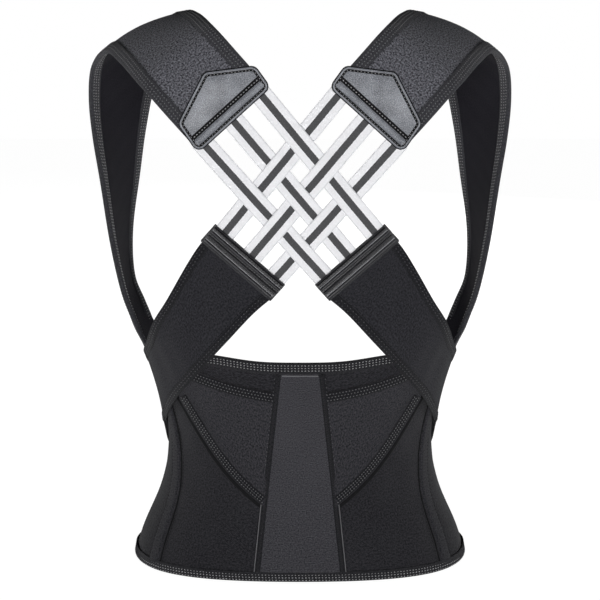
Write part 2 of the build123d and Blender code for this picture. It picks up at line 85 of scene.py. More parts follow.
def cubic(t, a, b, c, d):
    return (1 - t) ** 3 * a + 3 * t * (1 - t) ** 2 * b + 3 * t * t * (1 - t) * c + t ** 3 * d


def onTorso(around, height, offset):
    # around: 0 at the spine, 1 at the widest place, 2 at the front hinge line, 3 at the front's
    # middle, and negative on the wearer's left. Returns points in mm.
    around, height = np.broadcast_arrays(np.array(around, float), np.array(height, float))
    levels = np.array(torso["levels"])
    wide = smoothCourse(levels[:, 0], levels[:, 1], height) + offset
    deep = smoothCourse(levels[:, 0], levels[:, 2], height) + offset
    corner = smoothCourse(levels[:, 0], levels[:, 3], height)
    turn = np.abs(around)
    t = np.clip(turn, 0, 1)
    backX = cubic(t, 0 * wide, corner * wide, wide, wide)
    backY = cubic(t, -deep, -deep, -corner * deep, 0 * deep)
    hinge, depth = torso["frontHinge"], torso["hingeY"]
    normal = (hinge / torso["frontRadius"], (depth - torso["frontMiddle"]) / torso["frontRadius"])
    hingeX, hingeY = hinge + offset * normal[0], depth + offset * normal[1]
    t = np.clip(turn - 1, 0, 1)
    sideX = cubic(t, wide, wide, hingeX + torso["kneeRun"] * normal[1], hingeX)
    sideY = cubic(t, 0 * deep, torso["sideRun"], hingeY - torso["kneeRun"] * normal[0], hingeY)
    sweep = math.asin(normal[0]) * np.clip(3 - turn, 0, 1)
    frontX = (torso["frontRadius"] + offset) * np.sin(sweep)
    frontY = torso["frontMiddle"] + (torso["frontRadius"] + offset) * np.cos(sweep)
    x = np.where(turn <= 1, backX, np.where(turn <= 2, sideX, frontX))
    y = np.where(turn <= 1, backY, np.where(turn <= 2, sideY, frontY))
    return np.stack([np.where(around < 0, -x, x), y, height], axis=-1)


def closedIn(isBefore, low, high):
    # halves the stretch from low to high round the place where isBefore ends
    for _ in range(24):
        middle = (low + high) / 2
        before = isBefore(middle)
        low, high = np.where(before, middle, low), np.where(before, high, middle)
    return (low + high) / 2


def aroundAtX(x, height, offset=0):
    # where on the back the torso is x from the middle
    around = closedIn(lambda around: onTorso(around, height, offset)[..., 0] < np.abs(x),
                      np.zeros(np.shape(x)), np.ones(np.shape(x)))
    return around * np.where(np.array(x) < 0, -1, 1)


def aroundAtY(y, height, offset=0):
    # where on the right side the torso is at y
    return closedIn(lambda around: onTorso(around, height, offset)[..., 1] < y,
                    np.zeros(np.shape(y)), np.full(np.shape(y), 2.0))


def aroundAtFront(x):
    # where on the front the torso is x from the middle
    sweep = math.asin(torso["frontHinge"] / torso["frontRadius"])
    away = 3 - np.arcsin(np.abs(x) / torso["frontRadius"]) / sweep
    return away * np.where(np.array(x) < 0, -1, 1)


def outwardAt(around, height, offset=0):
    # the direction straight out of the torso, with its slope up and down
    around, height = np.array(around, float), np.array(height, float)
    step = onTorso(around + 0.004, height, offset) - onTorso(around - 0.004, height, offset)
    rise = onTorso(around, height + 1.0, offset) - onTorso(around, height - 1.0, offset)
    out = np.cross(step, rise)
    out /= np.linalg.norm(out, axis=-1, keepdims=True)
    flat = onTorso(around, height, offset) * np.array([1, 1, 0]) - np.array([0, 5, 0])
    away = np.sum(out * flat, axis=-1, keepdims=True)
    return np.where(away < 0, -out, out)


def onBack(x, height, offset):
    return onTorso(aroundAtX(x, height, offset), height, offset)


def torsoLine(around, height, offset):
    # a line is its points and the ways out of the cloth there
    return onTorso(around, height, offset), outwardAt(around, height, offset)


def backLine(x, height, offset):
    return torsoLine(aroundAtX(x, height, offset), height, offset)


def straightLine(ends, offset, count=120):
    # drawn on the back from one (x, height) to another
    share = np.linspace(0, 1, count)
    x, height = (start + share * (end - start) for start, end in zip(*ends))
    return backLine(x, height, offset)


def ringLine(start, end, count, height, offset=0.0):
    # round the torso; height may be a function of the place
    around = np.linspace(start, end, count)
    return torsoLine(around, height(around) if callable(height) else np.full(count, float(height)), offset)


def frontLine(start, end, count, height, offset=0.0):
    # across the front from one x to another
    return torsoLine(aroundAtFront(np.linspace(start, end, count)), np.full(count, float(height)), offset)


def unit(vectors):
    return vectors / np.maximum(np.linalg.norm(vectors, axis=-1, keepdims=True), 1e-9)


def tangents(path):
    return unit(np.gradient(path, axis=0))


def runAlong(path):
    # the path's length up to each of its points
    return np.concatenate([[0], np.cumsum(np.linalg.norm(np.diff(path, axis=0), axis=1))])


def readAt(places, run, values):
    # values along a run, read at the wanted places
    return np.stack([np.interp(places, run, column) for column in values.T], axis=-1)


def evenly(line, spacing, start):
    # the line read at equal steps of its length
    path, outward = line
    run = runAlong(path)
    places = np.arange(start, run[-1], spacing)
    return readAt(places, run, path), unit(readAt(places, run, outward))


def ease(share):
    share = np.clip(share, 0, 1)
    return share * share * (3 - 2 * share)


# materials: groups first, then one material for each cloth


def newGroup(name, inputs, outputs):
    # sockets by name: a number is a default, and the rest say their kind
    group = bpy.data.node_groups.new(name, "ShaderNodeTree")
    for title, kind in inputs.items():
        isNumber = isinstance(kind, float)
        socketType = "NodeSocketFloat" if isNumber else "NodeSocket" + kind
        socket = group.interface.new_socket(name=title, in_out="INPUT", socket_type=socketType)
        if isNumber:
            socket.default_value = kind
    for title, kind in outputs.items():
        group.interface.new_socket(name=title, in_out="OUTPUT", socket_type="NodeSocket" + kind)
    enter, leave = group.nodes.new("NodeGroupInput"), group.nodes.new("NodeGroupOutput")
    return group, enter.outputs, leave.inputs


def wire(tree, start, end):
    tree.links.new(start, end)


def maths(tree, kind, first, second=None, third=None):
    node = tree.nodes.new("ShaderNodeMath")
    node.operation = kind
    for index, value in enumerate((first, second, third)):
        if value is None:
            continue
        if isinstance(value, (int, float)):
            node.inputs[index].default_value = value
        else:
            wire(tree, value, node.inputs[index])
    return node.outputs[0]


def mixColors(tree, share, low, high):
    node = tree.nodes.new("ShaderNodeMix")
    node.data_type = "RGBA"
    for socket, value in ((node.inputs[0], share), (node.inputs[6], low), (node.inputs[7], high)):
        if isinstance(value, (int, float, tuple)):
            socket.default_value = value
        else:
            wire(tree, value, socket)
    return node.outputs[2]


def bounded(tree, share):
    return maths(tree, "MINIMUM", maths(tree, "MAXIMUM", share, 0.0), 1.0)


def swing(tree, value, reach):
    # a noise turned to go as far below zero as above it
    return maths(tree, "MULTIPLY", maths(tree, "SUBTRACT", value, 0.5), reach)


def waves(tree, value, turns):
    return maths(tree, "SINE", maths(tree, "MULTIPLY", value, turns))


def noiseAt(tree, place, scale, detail=2.0, rough=0.5):
    node = tree.nodes.new("ShaderNodeTexNoise")
    node.inputs["Scale"].default_value = scale
    node.inputs["Detail"].default_value = detail
    node.inputs["Roughness"].default_value = rough
    wire(tree, place, node.inputs["Vector"])
    return node.outputs["Fac"]


def makeWeaveGroup():
    # crossing yarns; place is in metres, pitch in millimetres
    group, given, made = newGroup(
        "clothWeave",
        {"Place": "Vector", "Pitch": 1.2, "Slant": 0.0, "Low": "Color", "High": "Color", "Fuzz": 0.5},
        {"Color": "Color", "Height": "Float"})
    split = group.nodes.new("ShaderNodeSeparateXYZ")
    wire(group, given["Place"], split.inputs[0])
    turns = maths(group, "DIVIDE", 2 * math.pi * 1000, given["Pitch"])
    slanted = maths(group, "MULTIPLY_ADD", split.outputs[1], given["Slant"], split.outputs[0])
    warp, weft = (waves(group, across, turns) for across in (slanted, split.outputs[1]))
    crossed = maths(group, "MULTIPLY_ADD", maths(group, "MULTIPLY", warp, weft), 0.5, 0.5)
    fibre = noiseAt(group, given["Place"], 1500, 2.0, 0.6)
    heather = noiseAt(group, given["Place"], 640, 3.0, 0.65)
    mixed = maths(group, "ADD", maths(group, "MULTIPLY_ADD", crossed, 0.4, 0.22),
                  maths(group, "MULTIPLY", swing(group, heather, 3.9), given["Fuzz"]))
    share = maths(group, "ADD", mixed, swing(group, fibre, 0.9))
    wire(group, mixColors(group, bounded(group, share), given["Low"], given["High"]),
         made["Color"])
    wire(group, maths(group, "MULTIPLY_ADD", fibre, 0.6, crossed), made["Height"])
    return group


def makeRibGroup():
    # knitted ribs across the cloth, a little uneven
    group, given, made = newGroup(
        "elasticRib", {"Place": "Vector", "Pitch": 2.0, "Low": "Color", "High": "Color"},
        {"Color": "Color", "Height": "Float"})
    split = group.nodes.new("ShaderNodeSeparateXYZ")
    wire(group, given["Place"], split.inputs[0])
    waver = maths(group, "MULTIPLY", noiseAt(group, given["Place"], 110, 3.0), 0.0045)
    turns = maths(group, "DIVIDE", 2 * math.pi * 1000, given["Pitch"])
    rib = waves(group, maths(group, "ADD", split.outputs[1], waver), turns)
    stitch = waves(group, split.outputs[0], 2 * math.pi / 0.0011)
    level = maths(group, "MULTIPLY_ADD", rib, 0.5, 0.5)
    fibre = noiseAt(group, given["Place"], 900, 3.0, 0.6)
    share = maths(group, "ADD", maths(group, "MULTIPLY", level, 0.3),
                  maths(group, "MULTIPLY_ADD", maths(group, "SUBTRACT", fibre, 0.5), 2.6, 0.3))
    wire(group, mixColors(group, bounded(group, share), given["Low"], given["High"]),
         made["Color"])
    wire(group, maths(group, "ADD", maths(group, "MULTIPLY_ADD", stitch, 0.14, level),
                      maths(group, "MULTIPLY", fibre, 0.35)), made["Height"])
    return group


def makeGrainGroup():
    # pebbled skin of a coated cloth
    group, given, made = newGroup(
        "leatherGrain", {"Place": "Vector", "Scale": 800.0, "Low": "Color", "High": "Color"},
        {"Color": "Color", "Height": "Float", "Roughness": "Float"})
    cells = group.nodes.new("ShaderNodeTexVoronoi")
    cells.feature = "DISTANCE_TO_EDGE"
    wire(group, given["Place"], cells.inputs["Vector"])
    wire(group, given["Scale"], cells.inputs["Scale"])
    pebble = maths(group, "MINIMUM", maths(group, "MULTIPLY", cells.outputs["Distance"], 3.0), 1.0)
    broad = noiseAt(group, given["Place"], 38, 2.0)
    fine = noiseAt(group, given["Place"], 1300, 2.0)
    worn = maths(group, "ADD", maths(group, "MULTIPLY_ADD", maths(group, "SUBTRACT", broad, 0.5), 0.9, 0.3),
                 swing(group, fine, 1.5))
    share = maths(group, "ADD", maths(group, "MULTIPLY", pebble, 0.35), maths(group, "MAXIMUM", worn, 0.0))
    share = maths(group, "MINIMUM", share, 1.0)
    wire(group, mixColors(group, share, given["Low"], given["High"]), made["Color"])
    wire(group, maths(group, "MULTIPLY_ADD", fine, 0.3, pebble), made["Height"])
    wire(group, maths(group, "MULTIPLY_ADD", pebble, -0.1, 0.44), made["Roughness"])
    return group


def makeFadeGroup():
    # slow changes of tone over a cloth, from handling and pressing
    group, given, made = newGroup(
        "handledTone", {"Place": "Vector", "Base": "Color", "Amount": 0.2}, {"Color": "Color"})
    broad = noiseAt(group, given["Place"], 11, 3.0, 0.55)
    share = maths(group, "MULTIPLY", maths(group, "SUBTRACT", broad, 0.36), given["Amount"])
    wire(group, mixColors(group, maths(group, "MAXIMUM", maths(group, "MULTIPLY", share, 3.0), 0.0),
                          given["Base"], (0.10, 0.10, 0.11, 1)), made["Color"])
    return group


weaveGroup = makeWeaveGroup()
ribGroup = makeRibGroup()
grainGroup = makeGrainGroup()
fadeGroup = makeFadeGroup()


def startMaterial(name):
    material = bpy.data.materials.new(name)
    material.use_nodes = True
    tree = material.node_tree
    shader = tree.nodes["Principled BSDF"]
    place = tree.nodes.new("ShaderNodeUVMap")
    place.uv_map = "cloth"
    return material, tree, shader, place.outputs["UV"]


def addGroup(tree, group, place, values):
    node = tree.nodes.new("ShaderNodeGroup")
    node.node_tree = group
    wire(tree, place, node.inputs["Place"])
    for title, value in values.items():
        if isinstance(value, tuple):
            value = (*value, 1)
        node.inputs[title].default_value = value
    return node


def addBump(tree, shader, height, strength, distance):
    bump = tree.nodes.new("ShaderNodeBump")
    bump.inputs["Strength"].default_value = strength
    bump.inputs["Distance"].default_value = distance
    wire(tree, height, bump.inputs["Height"])
    wire(tree, bump.outputs["Normal"], shader.inputs["Normal"])


def setInputs(shader, values):
    for title, value in values.items():
        shader.inputs[title].default_value = value


def shade(color, share):
    return tuple(part * share for part in color)


def paint(tree, shader, share, low, high):
    wire(tree, mixColors(tree, share, (*low, 1), (*high, 1)), shader.inputs["Base Color"])


def fadedCloth(name, group, values, fade, bump, depth):
    # a cloth's weave under its slow changes of tone
    material, tree, shader, place = startMaterial(name)
    cloth = addGroup(tree, group, place, values)
    tone = addGroup(tree, fadeGroup, place, {"Amount": fade})
    wire(tree, cloth.outputs["Color"], tone.inputs["Base"])
    wire(tree, tone.outputs["Color"], shader.inputs["Base Color"])
    addBump(tree, shader, cloth.outputs["Height"], bump, depth)
    return material, shader


def wovenMaterial(name, low, high, pitch, slant, fuzz, rough, sheen, bump, fade):
    weave = {"Pitch": pitch, "Slant": slant, "Low": low, "High": high, "Fuzz": fuzz}
    material, shader = fadedCloth(name, weaveGroup, weave, fade, bump, 0.0004)
    setInputs(shader, {"Roughness": rough, "Sheen Weight": sheen, "Sheen Roughness": 0.55,
                       "Specular IOR Level": 0})
    return material


def ribbedMaterial(name, low, high, pitch, bump):
    ribs = {"Pitch": pitch, "Low": low, "High": high}
    material, shader = fadedCloth(name, ribGroup, ribs, 0.1, bump, 0.0006)
    setInputs(shader, {"Roughness": 0.8, "Sheen Weight": 0.2, "Specular IOR Level": 0})
    return material


def leatherMaterial(name, low, high, scale=900.0, coat=0.1):
    material, tree, shader, place = startMaterial(name)
    skin = addGroup(tree, grainGroup, place, {"Scale": scale, "Low": low, "High": high})
    wire(tree, skin.outputs["Color"], shader.inputs["Base Color"])
    wire(tree, skin.outputs["Roughness"], shader.inputs["Roughness"])
    setInputs(shader, {"Specular IOR Level": 0.2, "Coat Weight": coat, "Coat Roughness": 0.22})
    addBump(tree, shader, skin.outputs["Height"], 0.35, 0.0003)
    return material


def threadMaterial(name, color, spread=0.35):
    material, tree, shader, place = startMaterial(name)
    spot = tree.nodes.new("ShaderNodeTexCoord").outputs["Object"]
    share = noiseAt(tree, spot, 260, 1.0)
    paint(tree, shader, share, shade(color, 1 - spread), color)
    setInputs(shader, {"Roughness": 0.7, "Sheen Weight": 0.05, "Specular IOR Level": 0.04})
    addBump(tree, shader, noiseAt(tree, spot, 2600, 1.0), 0.3, 0.0002)
    return material


def bandMaterial(name, pale, stripe, stripeHalf, widthHalf):
    # elastic tape: pale ribs, a dark stripe along the middle and slightly grey along both edges
    material, tree, shader, place = startMaterial(name)
    cloth = addGroup(tree, weaveGroup, place,
                     {"Pitch": 1.5, "Low": shade(pale, 0.86), "High": pale, "Fuzz": 0.5})
    split = tree.nodes.new("ShaderNodeSeparateXYZ")
    wire(tree, place, split.inputs[0])
    away = maths(tree, "ABSOLUTE", maths(tree, "SUBTRACT", split.outputs[0], widthHalf))
    waver = maths(tree, "MULTIPLY", noiseAt(tree, place, 700, 1.0), 0.0006)
    inside = maths(tree, "LESS_THAN", maths(tree, "ADD", away, waver), stripeHalf + 0.0003)
    edge = maths(tree, "GREATER_THAN", away, widthHalf - 0.0011)
    dark = addGroup(tree, weaveGroup, place,
                    {"Pitch": 1.1, "Low": shade(stripe, 0.6), "High": shade(stripe, 1.4), "Fuzz": 0.6})
    striped = mixColors(tree, inside, cloth.outputs["Color"], dark.outputs["Color"])
    wire(tree, mixColors(tree, maths(tree, "MULTIPLY", edge, 0.35), striped, (0.42, 0.43, 0.45, 1)),
         shader.inputs["Base Color"])
    setInputs(shader, {"Roughness": 0.75, "Sheen Weight": 0.15})
    cross = waves(tree, split.outputs[1], 2 * math.pi / 0.0016)
    addBump(tree, shader, maths(tree, "MULTIPLY_ADD", cross, 0.4, cloth.outputs["Height"]), 0.45, 0.0003)
    return material


def hookMaterial(name, color):
    # rows of tiny plastic hooks
    material, tree, shader, place = startMaterial(name)
    dots = tree.nodes.new("ShaderNodeTexVoronoi")
    setInputs(dots, {"Scale": 620, "Randomness": 0.15})
    wire(tree, place, dots.inputs["Vector"])
    hook = maths(tree, "GREATER_THAN", 0.42, dots.outputs["Distance"])
    paint(tree, shader, hook, shade(color, 0.5), shade(color, 2.2))
    setInputs(shader, {"Roughness": 0.5})
    addBump(tree, shader, hook, 0.8, 0.0006)
    return material


def metalMaterial(name, color):
    material, tree, shader, place = startMaterial(name)
    grain = noiseAt(tree, tree.nodes.new("ShaderNodeTexCoord").outputs["Object"], 900, 2.0)
    paint(tree, shader, grain, shade(color, 0.8), color)
    setInputs(shader, {"Metallic": 1.0})
    wire(tree, maths(tree, "MULTIPLY_ADD", grain, 0.2, 0.25), shader.inputs["Roughness"])
    return material


# darkest and lightest yarn, then pitch in mm, slant, fuzz, roughness, sheen, bump and fade
wovenCloths = {
    "belt": ("beltNeoprene", (0.007, 0.007, 0.0085), (0.033, 0.0325, 0.037),
             1.5, 0, 0.75, 0.85, 0.09, 0.5, 0.05),
    "beltInner": ("beltLining", (0.007, 0.007, 0.008), (0.018, 0.018, 0.021),
                  1.1, 0, 0.3, 0.7, 0.05, 0.3, 0.03),
    "fan": ("fanKnit", (0.009, 0.009, 0.011), (0.054, 0.053, 0.06), 1.7, 0.6, 0.75, 0.85, 0.1, 0.55, 0.05),
    "channel": ("channelTape", (0.008, 0.008, 0.0095), (0.042, 0.0415, 0.047),
                1.5, 0, 0.7, 0.85, 0.09, 0.5, 0.05),
    "binding": ("bindingTape", (0.006, 0.006, 0.0075), (0.038, 0.038, 0.042),
                1.0, 1.0, 0.5, 0.8, 0.08, 0.6, 0.03),
    "strapBinding": ("strapEdgeTape", (0.014, 0.014, 0.017), (0.07, 0.07, 0.078),
                     1.0, 1.0, 0.5, 0.8, 0.1, 0.6, 0.03),
    "tape": ("seamTape", (0.005, 0.005, 0.0065), (0.026, 0.026, 0.029),
             0.9, 1.0, 0.5, 0.8, 0.08, 0.6, 0.03),
    "wing": ("wingNeoprene", (0.008, 0.008, 0.01), (0.038, 0.038, 0.0435),
             1.3, 0, 0.65, 0.8, 0.08, 0.45, 0.05),
    "strap": ("strapFabric", (0.012, 0.012, 0.0155), (0.19, 0.191, 0.216), 1.6, 0, 0.9, 0.9, 0.08, 0.7, 0.1),
    "strapInner": ("strapLining", (0.004, 0.0038, 0.0058), (0.0165, 0.0152, 0.0215),
                   1.0, 0, 0.4, 0.7, 0.06, 0.3, 0.03),
    "lining": ("brushedLining", (0.01, 0.01, 0.012), (0.035, 0.035, 0.039),
               2.2, 0.5, 0.8, 0.95, 0.3, 0.5, 0.05),
    "loop": ("loopPile", (0.008, 0.008, 0.009), (0.04, 0.04, 0.044), 0.8, 0.5, 0.9, 0.97, 0.4, 0.9, 0.05),
}
finish = {key: wovenMaterial(*settings) for key, settings in wovenCloths.items()}
finish.update({
    "center": ribbedMaterial("centerElastic", (0.012, 0.012, 0.0145), (0.072, 0.071, 0.08), 1.4, 0.35),
    "patch": leatherMaterial("patchLeather", (0.035, 0.037, 0.044), (0.31, 0.325, 0.36), 650.0),
    # pale leather painted as the highlight along the patch's rim
    "patchHighlight": leatherMaterial("patchEdgeLeather", (0.10, 0.104, 0.115), (0.36, 0.37, 0.40)),
    "tab": leatherMaterial("tabLeather", (0.004, 0.004, 0.005), (0.017, 0.017, 0.021), 700.0, 0.12),
    # pale leather painted as highlight lines along the tab's ridges
    "tabHighlight": leatherMaterial("wornTabEdge", (0.2, 0.2, 0.21), (0.55, 0.55, 0.58), 700.0),
    "band": bandMaterial("bandElastic", (0.82, 0.82, 0.845), (0.035, 0.035, 0.038), 3.1 * mm, 9.7 * mm),
    "paleThread": threadMaterial("paleThread", (0.40, 0.40, 0.41)),
    "dimThread": threadMaterial("dimThread", (0.21, 0.21, 0.218)),
    "greyThread": threadMaterial("greyThread", (0.13, 0.13, 0.14)),
    "darkThread": threadMaterial("darkThread", (0.008, 0.008, 0.009)),
    "piping": threadMaterial("palePiping", (0.17, 0.17, 0.18)),
    "cord": threadMaterial("braidedCord", (0.022, 0.022, 0.025)),
    "hook": hookMaterial("hookTape", (0.012, 0.012, 0.014)),
    "steel": metalMaterial("springSteel", (0.6, 0.6, 0.62)),
    "stay": threadMaterial("stayPlastic", (0.75, 0.75, 0.72), 0.1),
})
print("materials made:", len(finish))


# ways of making a piece

def keepUv(mesh, uv):
    layer = mesh.uv_layers.active or mesh.uv_layers.new(name="cloth")
    layer.name = "cloth"
    corners = np.empty(len(mesh.loops), int)
    mesh.loops.foreach_get("vertex_index", corners)
    layer.data.foreach_set("uv", uv[corners].astype(np.float32).ravel())


def readAll(items, key):
    # three numbers for each corner or face
    flat = np.empty(len(items) * 3)
    items.foreach_get(key, flat)
    return flat.reshape(-1, 3)


def select(piece):
    bpy.ops.object.select_all(action="DESELECT")
    piece.select_set(True)
    bpy.context.view_layer.objects.active = piece


def turnOutward():
    # in edit mode: every face of a closed piece looks out, and edit mode ends
    bpy.ops.mesh.select_all(action="SELECT")
    bpy.ops.mesh.normals_make_consistent(inside=False)
    bpy.ops.object.mode_set(mode="OBJECT")


def startGrid(name, columns, rows):
    # a grid primitive, and where each corner is as shares of its columns and rows
    bpy.ops.object.select_all(action="DESELECT")
    bpy.ops.mesh.primitive_grid_add(x_subdivisions=columns, y_subdivisions=rows, size=2)
    piece = bpy.context.object
    piece.name = name
    return piece, np.clip((readAll(piece.data.vertices, "co")[:, :2] + 1) / 2, 0, 1)


def lay(piece, points, uv):
    # the grid's corners go to points, and its map to uv, both in mm
    keepUv(piece.data, uv * mm)
    piece.data.vertices.foreach_set("co", (points * mm).ravel())
    piece.data.update()


def laidGrid(name, columns, rows, place):
    # a grid laid over a shape; place takes shares along its columns and rows
    piece, share = startGrid(name, columns, rows)
    course, half = np.linspace(0, 1, 60), np.full(60, 0.5)
    size = [np.linalg.norm(np.diff(place(*line), axis=0), axis=1).sum()
            for line in ((course, half), (half, course))]
    lay(piece, place(share[:, 0], share[:, 1]), share * np.array(size))
    return piece


def faceOutward(piece):
    # the cloth's face looks away from the torso's middle
    away = readAll(piece.data.polygons, "center") * np.array([1, 1, 0])
    if np.sum(away * readAll(piece.data.polygons, "normal")) < 0:
        bpy.ops.object.mode_set(mode="EDIT")
        bpy.ops.mesh.select_all(action="SELECT")
        bpy.ops.mesh.flip_normals()
        bpy.ops.object.mode_set(mode="OBJECT")


def thicken(piece, thickness, edge, innerMaterial):
    # cloth thickness towards the torso, or away from it if negative, with softened edges
    bpy.ops.object.modifier_add(type="SOLIDIFY")
    solid = piece.modifiers[-1]
    solid.thickness = thickness * mm
    solid.offset = -1
    solid.use_even_offset = False
    solid.material_offset = int(innerMaterial)
    bpy.ops.object.modifier_apply(modifier=solid.name)
    bpy.ops.object.modifier_add(type="BEVEL")
    bevel = piece.modifiers[-1]
    bevel.width = edge * mm
    bevel.segments = 2
    bevel.limit_method = "ANGLE"
    bevel.angle_limit = math.radians(50)
    bpy.ops.object.modifier_apply(modifier=bevel.name)
    bpy.ops.object.shade_smooth_by_angle(angle=math.radians(50))


def cloth(name, columns, rows, place, thickness, materials, edge=0.5):
    piece = laidGrid(name, columns, rows, place)
    for material in materials:
        piece.data.materials.append(finish[material])
    faceOutward(piece)
    thicken(piece, thickness, edge, len(materials) > 1)
    return piece


def swept(name, line, profile, material, swell=None):
    # a closed outline of (sideways, out) points drawn along a line, with its ends filled
    path, outward = line
    count = len(path)
    along = tangents(path)
    outward = unit(outward - along * np.sum(outward * along, axis=1, keepdims=True))
    sideways = np.cross(along, outward)
    outline = np.array(list(profile) + [profile[0]], float)
    if swell is None:
        swell = np.ones((count, 2))
    run, ring = runAlong(path), runAlong(outline)
    piece, share = startGrid(name, count - 1, len(outline) - 1)
    i = np.rint(share[:, 0] * (count - 1)).astype(int)
    j = np.rint(share[:, 1] * (len(outline) - 1)).astype(int)
    points = (path[i] + sideways[i] * (outline[j, 0] * swell[i, 0])[:, None]
              + outward[i] * (outline[j, 1] * swell[i, 1])[:, None])
    lay(piece, points, np.stack([ring[j], run[i]], axis=1))
    bpy.ops.object.mode_set(mode="EDIT")
    bpy.ops.mesh.select_all(action="SELECT")
    bpy.ops.mesh.remove_doubles(threshold=0.000005)
    bpy.ops.mesh.fill_holes(sides=0)
    turnOutward()
    bpy.ops.object.shade_smooth_by_angle(angle=math.radians(48))
    piece.data.materials.append(finish[material])
    return piece


def tapeProfile(width, height, sink=0.3):
    # flat woven tape with rounded shoulders
    half = width / 2
    return [(-half, -sink), (-half, height * 0.55), (-half + 0.5, height * 0.95), (-half * 0.4, height),
            (half * 0.4, height), (half - 0.5, height * 0.95), (half, height * 0.55), (half, -sink)]


def roundProfile(width, height, steps=8):
    turns = [math.pi * k / steps for k in range(steps + 1)]
    return [(width / 2 * math.cos(turn), height * math.sin(turn)) for turn in turns]


def makeStitch():
    # one stitch, modelled once: a small long bead
    bpy.ops.object.select_all(action="DESELECT")
    bpy.ops.mesh.primitive_ico_sphere_add(subdivisions=1, radius=0.5)
    bead = bpy.context.object
    corners = np.array([corner.co[:] for corner in bead.data.vertices])
    faces = np.array([face.vertices[:] for face in bead.data.polygons])
    bpy.ops.object.delete()
    return corners, faces


stitchCorners, stitchFaces = makeStitch()


def sewn(name, rows, material):
    # rows of stitches as one piece
    # a row is its line, pitch, start, (length, width, height) and slant in degrees, all one way if negative
    allCorners, allFaces, used = [], [], 0
    for line, pitch, start, size, slant in rows:
        points, out = evenly(line, pitch, start)
        if len(points) < 2:
            continue
        along = tangents(points)
        out = unit(out - along * np.sum(out * along, axis=1, keepdims=True))
        side = np.cross(along, out)
        turn = np.radians(abs(slant)) * np.where((np.arange(len(points)) % 2 == 0) | (slant < 0), 1, -1)
        lengthWay = along * np.cos(turn)[:, None] + side * np.sin(turn)[:, None]
        widthWay = np.cross(lengthWay, out)
        bead = stitchCorners * np.array(size)
        placed = (points[:, None, :] + lengthWay[:, None, :] * bead[None, :, 0:1]
                  + widthWay[:, None, :] * bead[None, :, 1:2] + out[:, None, :] * bead[None, :, 2:3])
        allCorners.append(placed.reshape(-1, 3))
        for index in range(len(points)):
            allFaces.append(stitchFaces + used + index * len(stitchCorners))
        used += len(points) * len(stitchCorners)
    mesh = bpy.data.meshes.new(name)
    mesh.from_pydata((np.concatenate(allCorners) * mm).tolist(), [], np.concatenate(allFaces).tolist())
    piece = bpy.data.objects.new(name, mesh)
    bpy.context.collection.objects.link(piece)
    select(piece)
    bpy.ops.object.mode_set(mode="EDIT")
    turnOutward()
    bpy.ops.object.shade_smooth()
    mesh.uv_layers.new(name="cloth")
    mesh.materials.append(finish[material])
    return piece


def mirrored(piece, name):
    # the same piece for the wearer's left, with its own mesh
    select(piece)
    bpy.ops.object.duplicate()
    twin = bpy.context.object
    twin.name = name
    for key in list(twin.keys()):
        del twin[key]  # what was said of the right piece isn't true of this one
    twin.data.transform(Matrix.Diagonal((-1, 1, 1, 1)))
    twin.data.flip_normals()
    return twin


def finishPiece(piece, slotName, rides, *nodes):
    # rides is one body, which the piece is attached to, or two with the places where the first ends and the
    # second begins; then the piece is only fixed where it stands
    if isinstance(rides, str):
        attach(piece, rides)
    else:
        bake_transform(piece)
    if nodes:
        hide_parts(*nodes)


def onBothSides(piece, slotName, rides, *stems, fill=None):
    # a piece made for the right is finished there, and mirrored to the left; rides is for each side
    for name in sides:
        own = piece if name == "right" else mirrored(piece, piece.name.removesuffix("Right") + "Left")
        finishPiece(own, slotName, rides[name], *(stem + name for stem in stems))


def shoulderBend(name, x, y, still, moves):
    # the belt and one shoulder strap, with two heights in mm on the line between them, for cloth that lies
    # across both
    return "wrap", name + "_shoulder_strap", (x, y, still * mm), (x, y, moves * mm)


onWrap = {name: "wrap" for name in sides}

# the belt

belt = {
    "spineTop": 208.8, "sideRise": 6.8, "riseHalf": 86, "frontTop": 155, "sideStart": -70, "middleTop": 187.1,
    "seamFoot": -67, "seamLean": 0.125, "panelOut": 3.8, "panelThick": 2.7, "margin": 1.2,
    "topBinding": 10.5, "hemBinding": 9.5, "dotPitch": 3.1, "dot": (1.7, 0.95, 0.6),
    "topDots": (2.6, 5.1, 7.6), "topDotsOut": 5.05, "hemDots": (2.2, 4.6, 7.0), "hemDotsOut": 5.3,
}


def beltTop(around):
    # height of the belt's top edge
    spot = onTorso(around, 200, 3)
    back = belt["spineTop"] + belt["sideRise"] * ease(np.abs(spot[..., 0]) / belt["riseHalf"]) ** 2.2
    side = belt["spineTop"] + belt["sideRise"]
    y = spot[..., 1]

    def run(t, low, high, lowSlope, highSlope, length):
        t = np.clip(t, 0, 1)
        return ((2 * t ** 3 - 3 * t ** 2 + 1) * low + (3 * t ** 2 - 2 * t ** 3) * high
                + (t ** 3 - 2 * t ** 2 + t) * lowSlope * length + (t ** 3 - t ** 2) * highSlope * length)

    start, hinge = -belt["sideStart"], torso["hingeY"]
    first = run((y + start) / start, side, belt["middleTop"], -0.15, -0.42, start)
    second = run(y / hinge, belt["middleTop"], belt["frontTop"], -0.42, 0, hinge)
    turn = np.abs(np.array(around, float))
    edge = np.where(y < belt["sideStart"], back, np.where(y < 0, first, second))
    return np.where(turn > 2, belt["frontTop"], edge)


def seamAt(height):
    return aroundAtY(belt["seamFoot"] + belt["seamLean"] * height, height, 3)


def ripple(around, height, depth):
    # the small unevenness of cloth under light tension
    slow = np.sin(around * 19 + height * 0.031) * np.sin(height * 0.047 + around * 7)
    return depth * (slow + 0.4 * np.sin(height * 0.13 - around * 31))


def beltHeight(around, t):
    return belt["margin"] + t * (beltTop(around) - 2 * belt["margin"])


def placeBack(s, t):
    guess = 30 + 150 * t
    for _ in range(2):
        around = (2 * s - 1) * seamAt(guess)
        guess = beltHeight(around, t)
    return onTorso(around, guess, belt["panelOut"] + ripple(around, guess, 0.35))


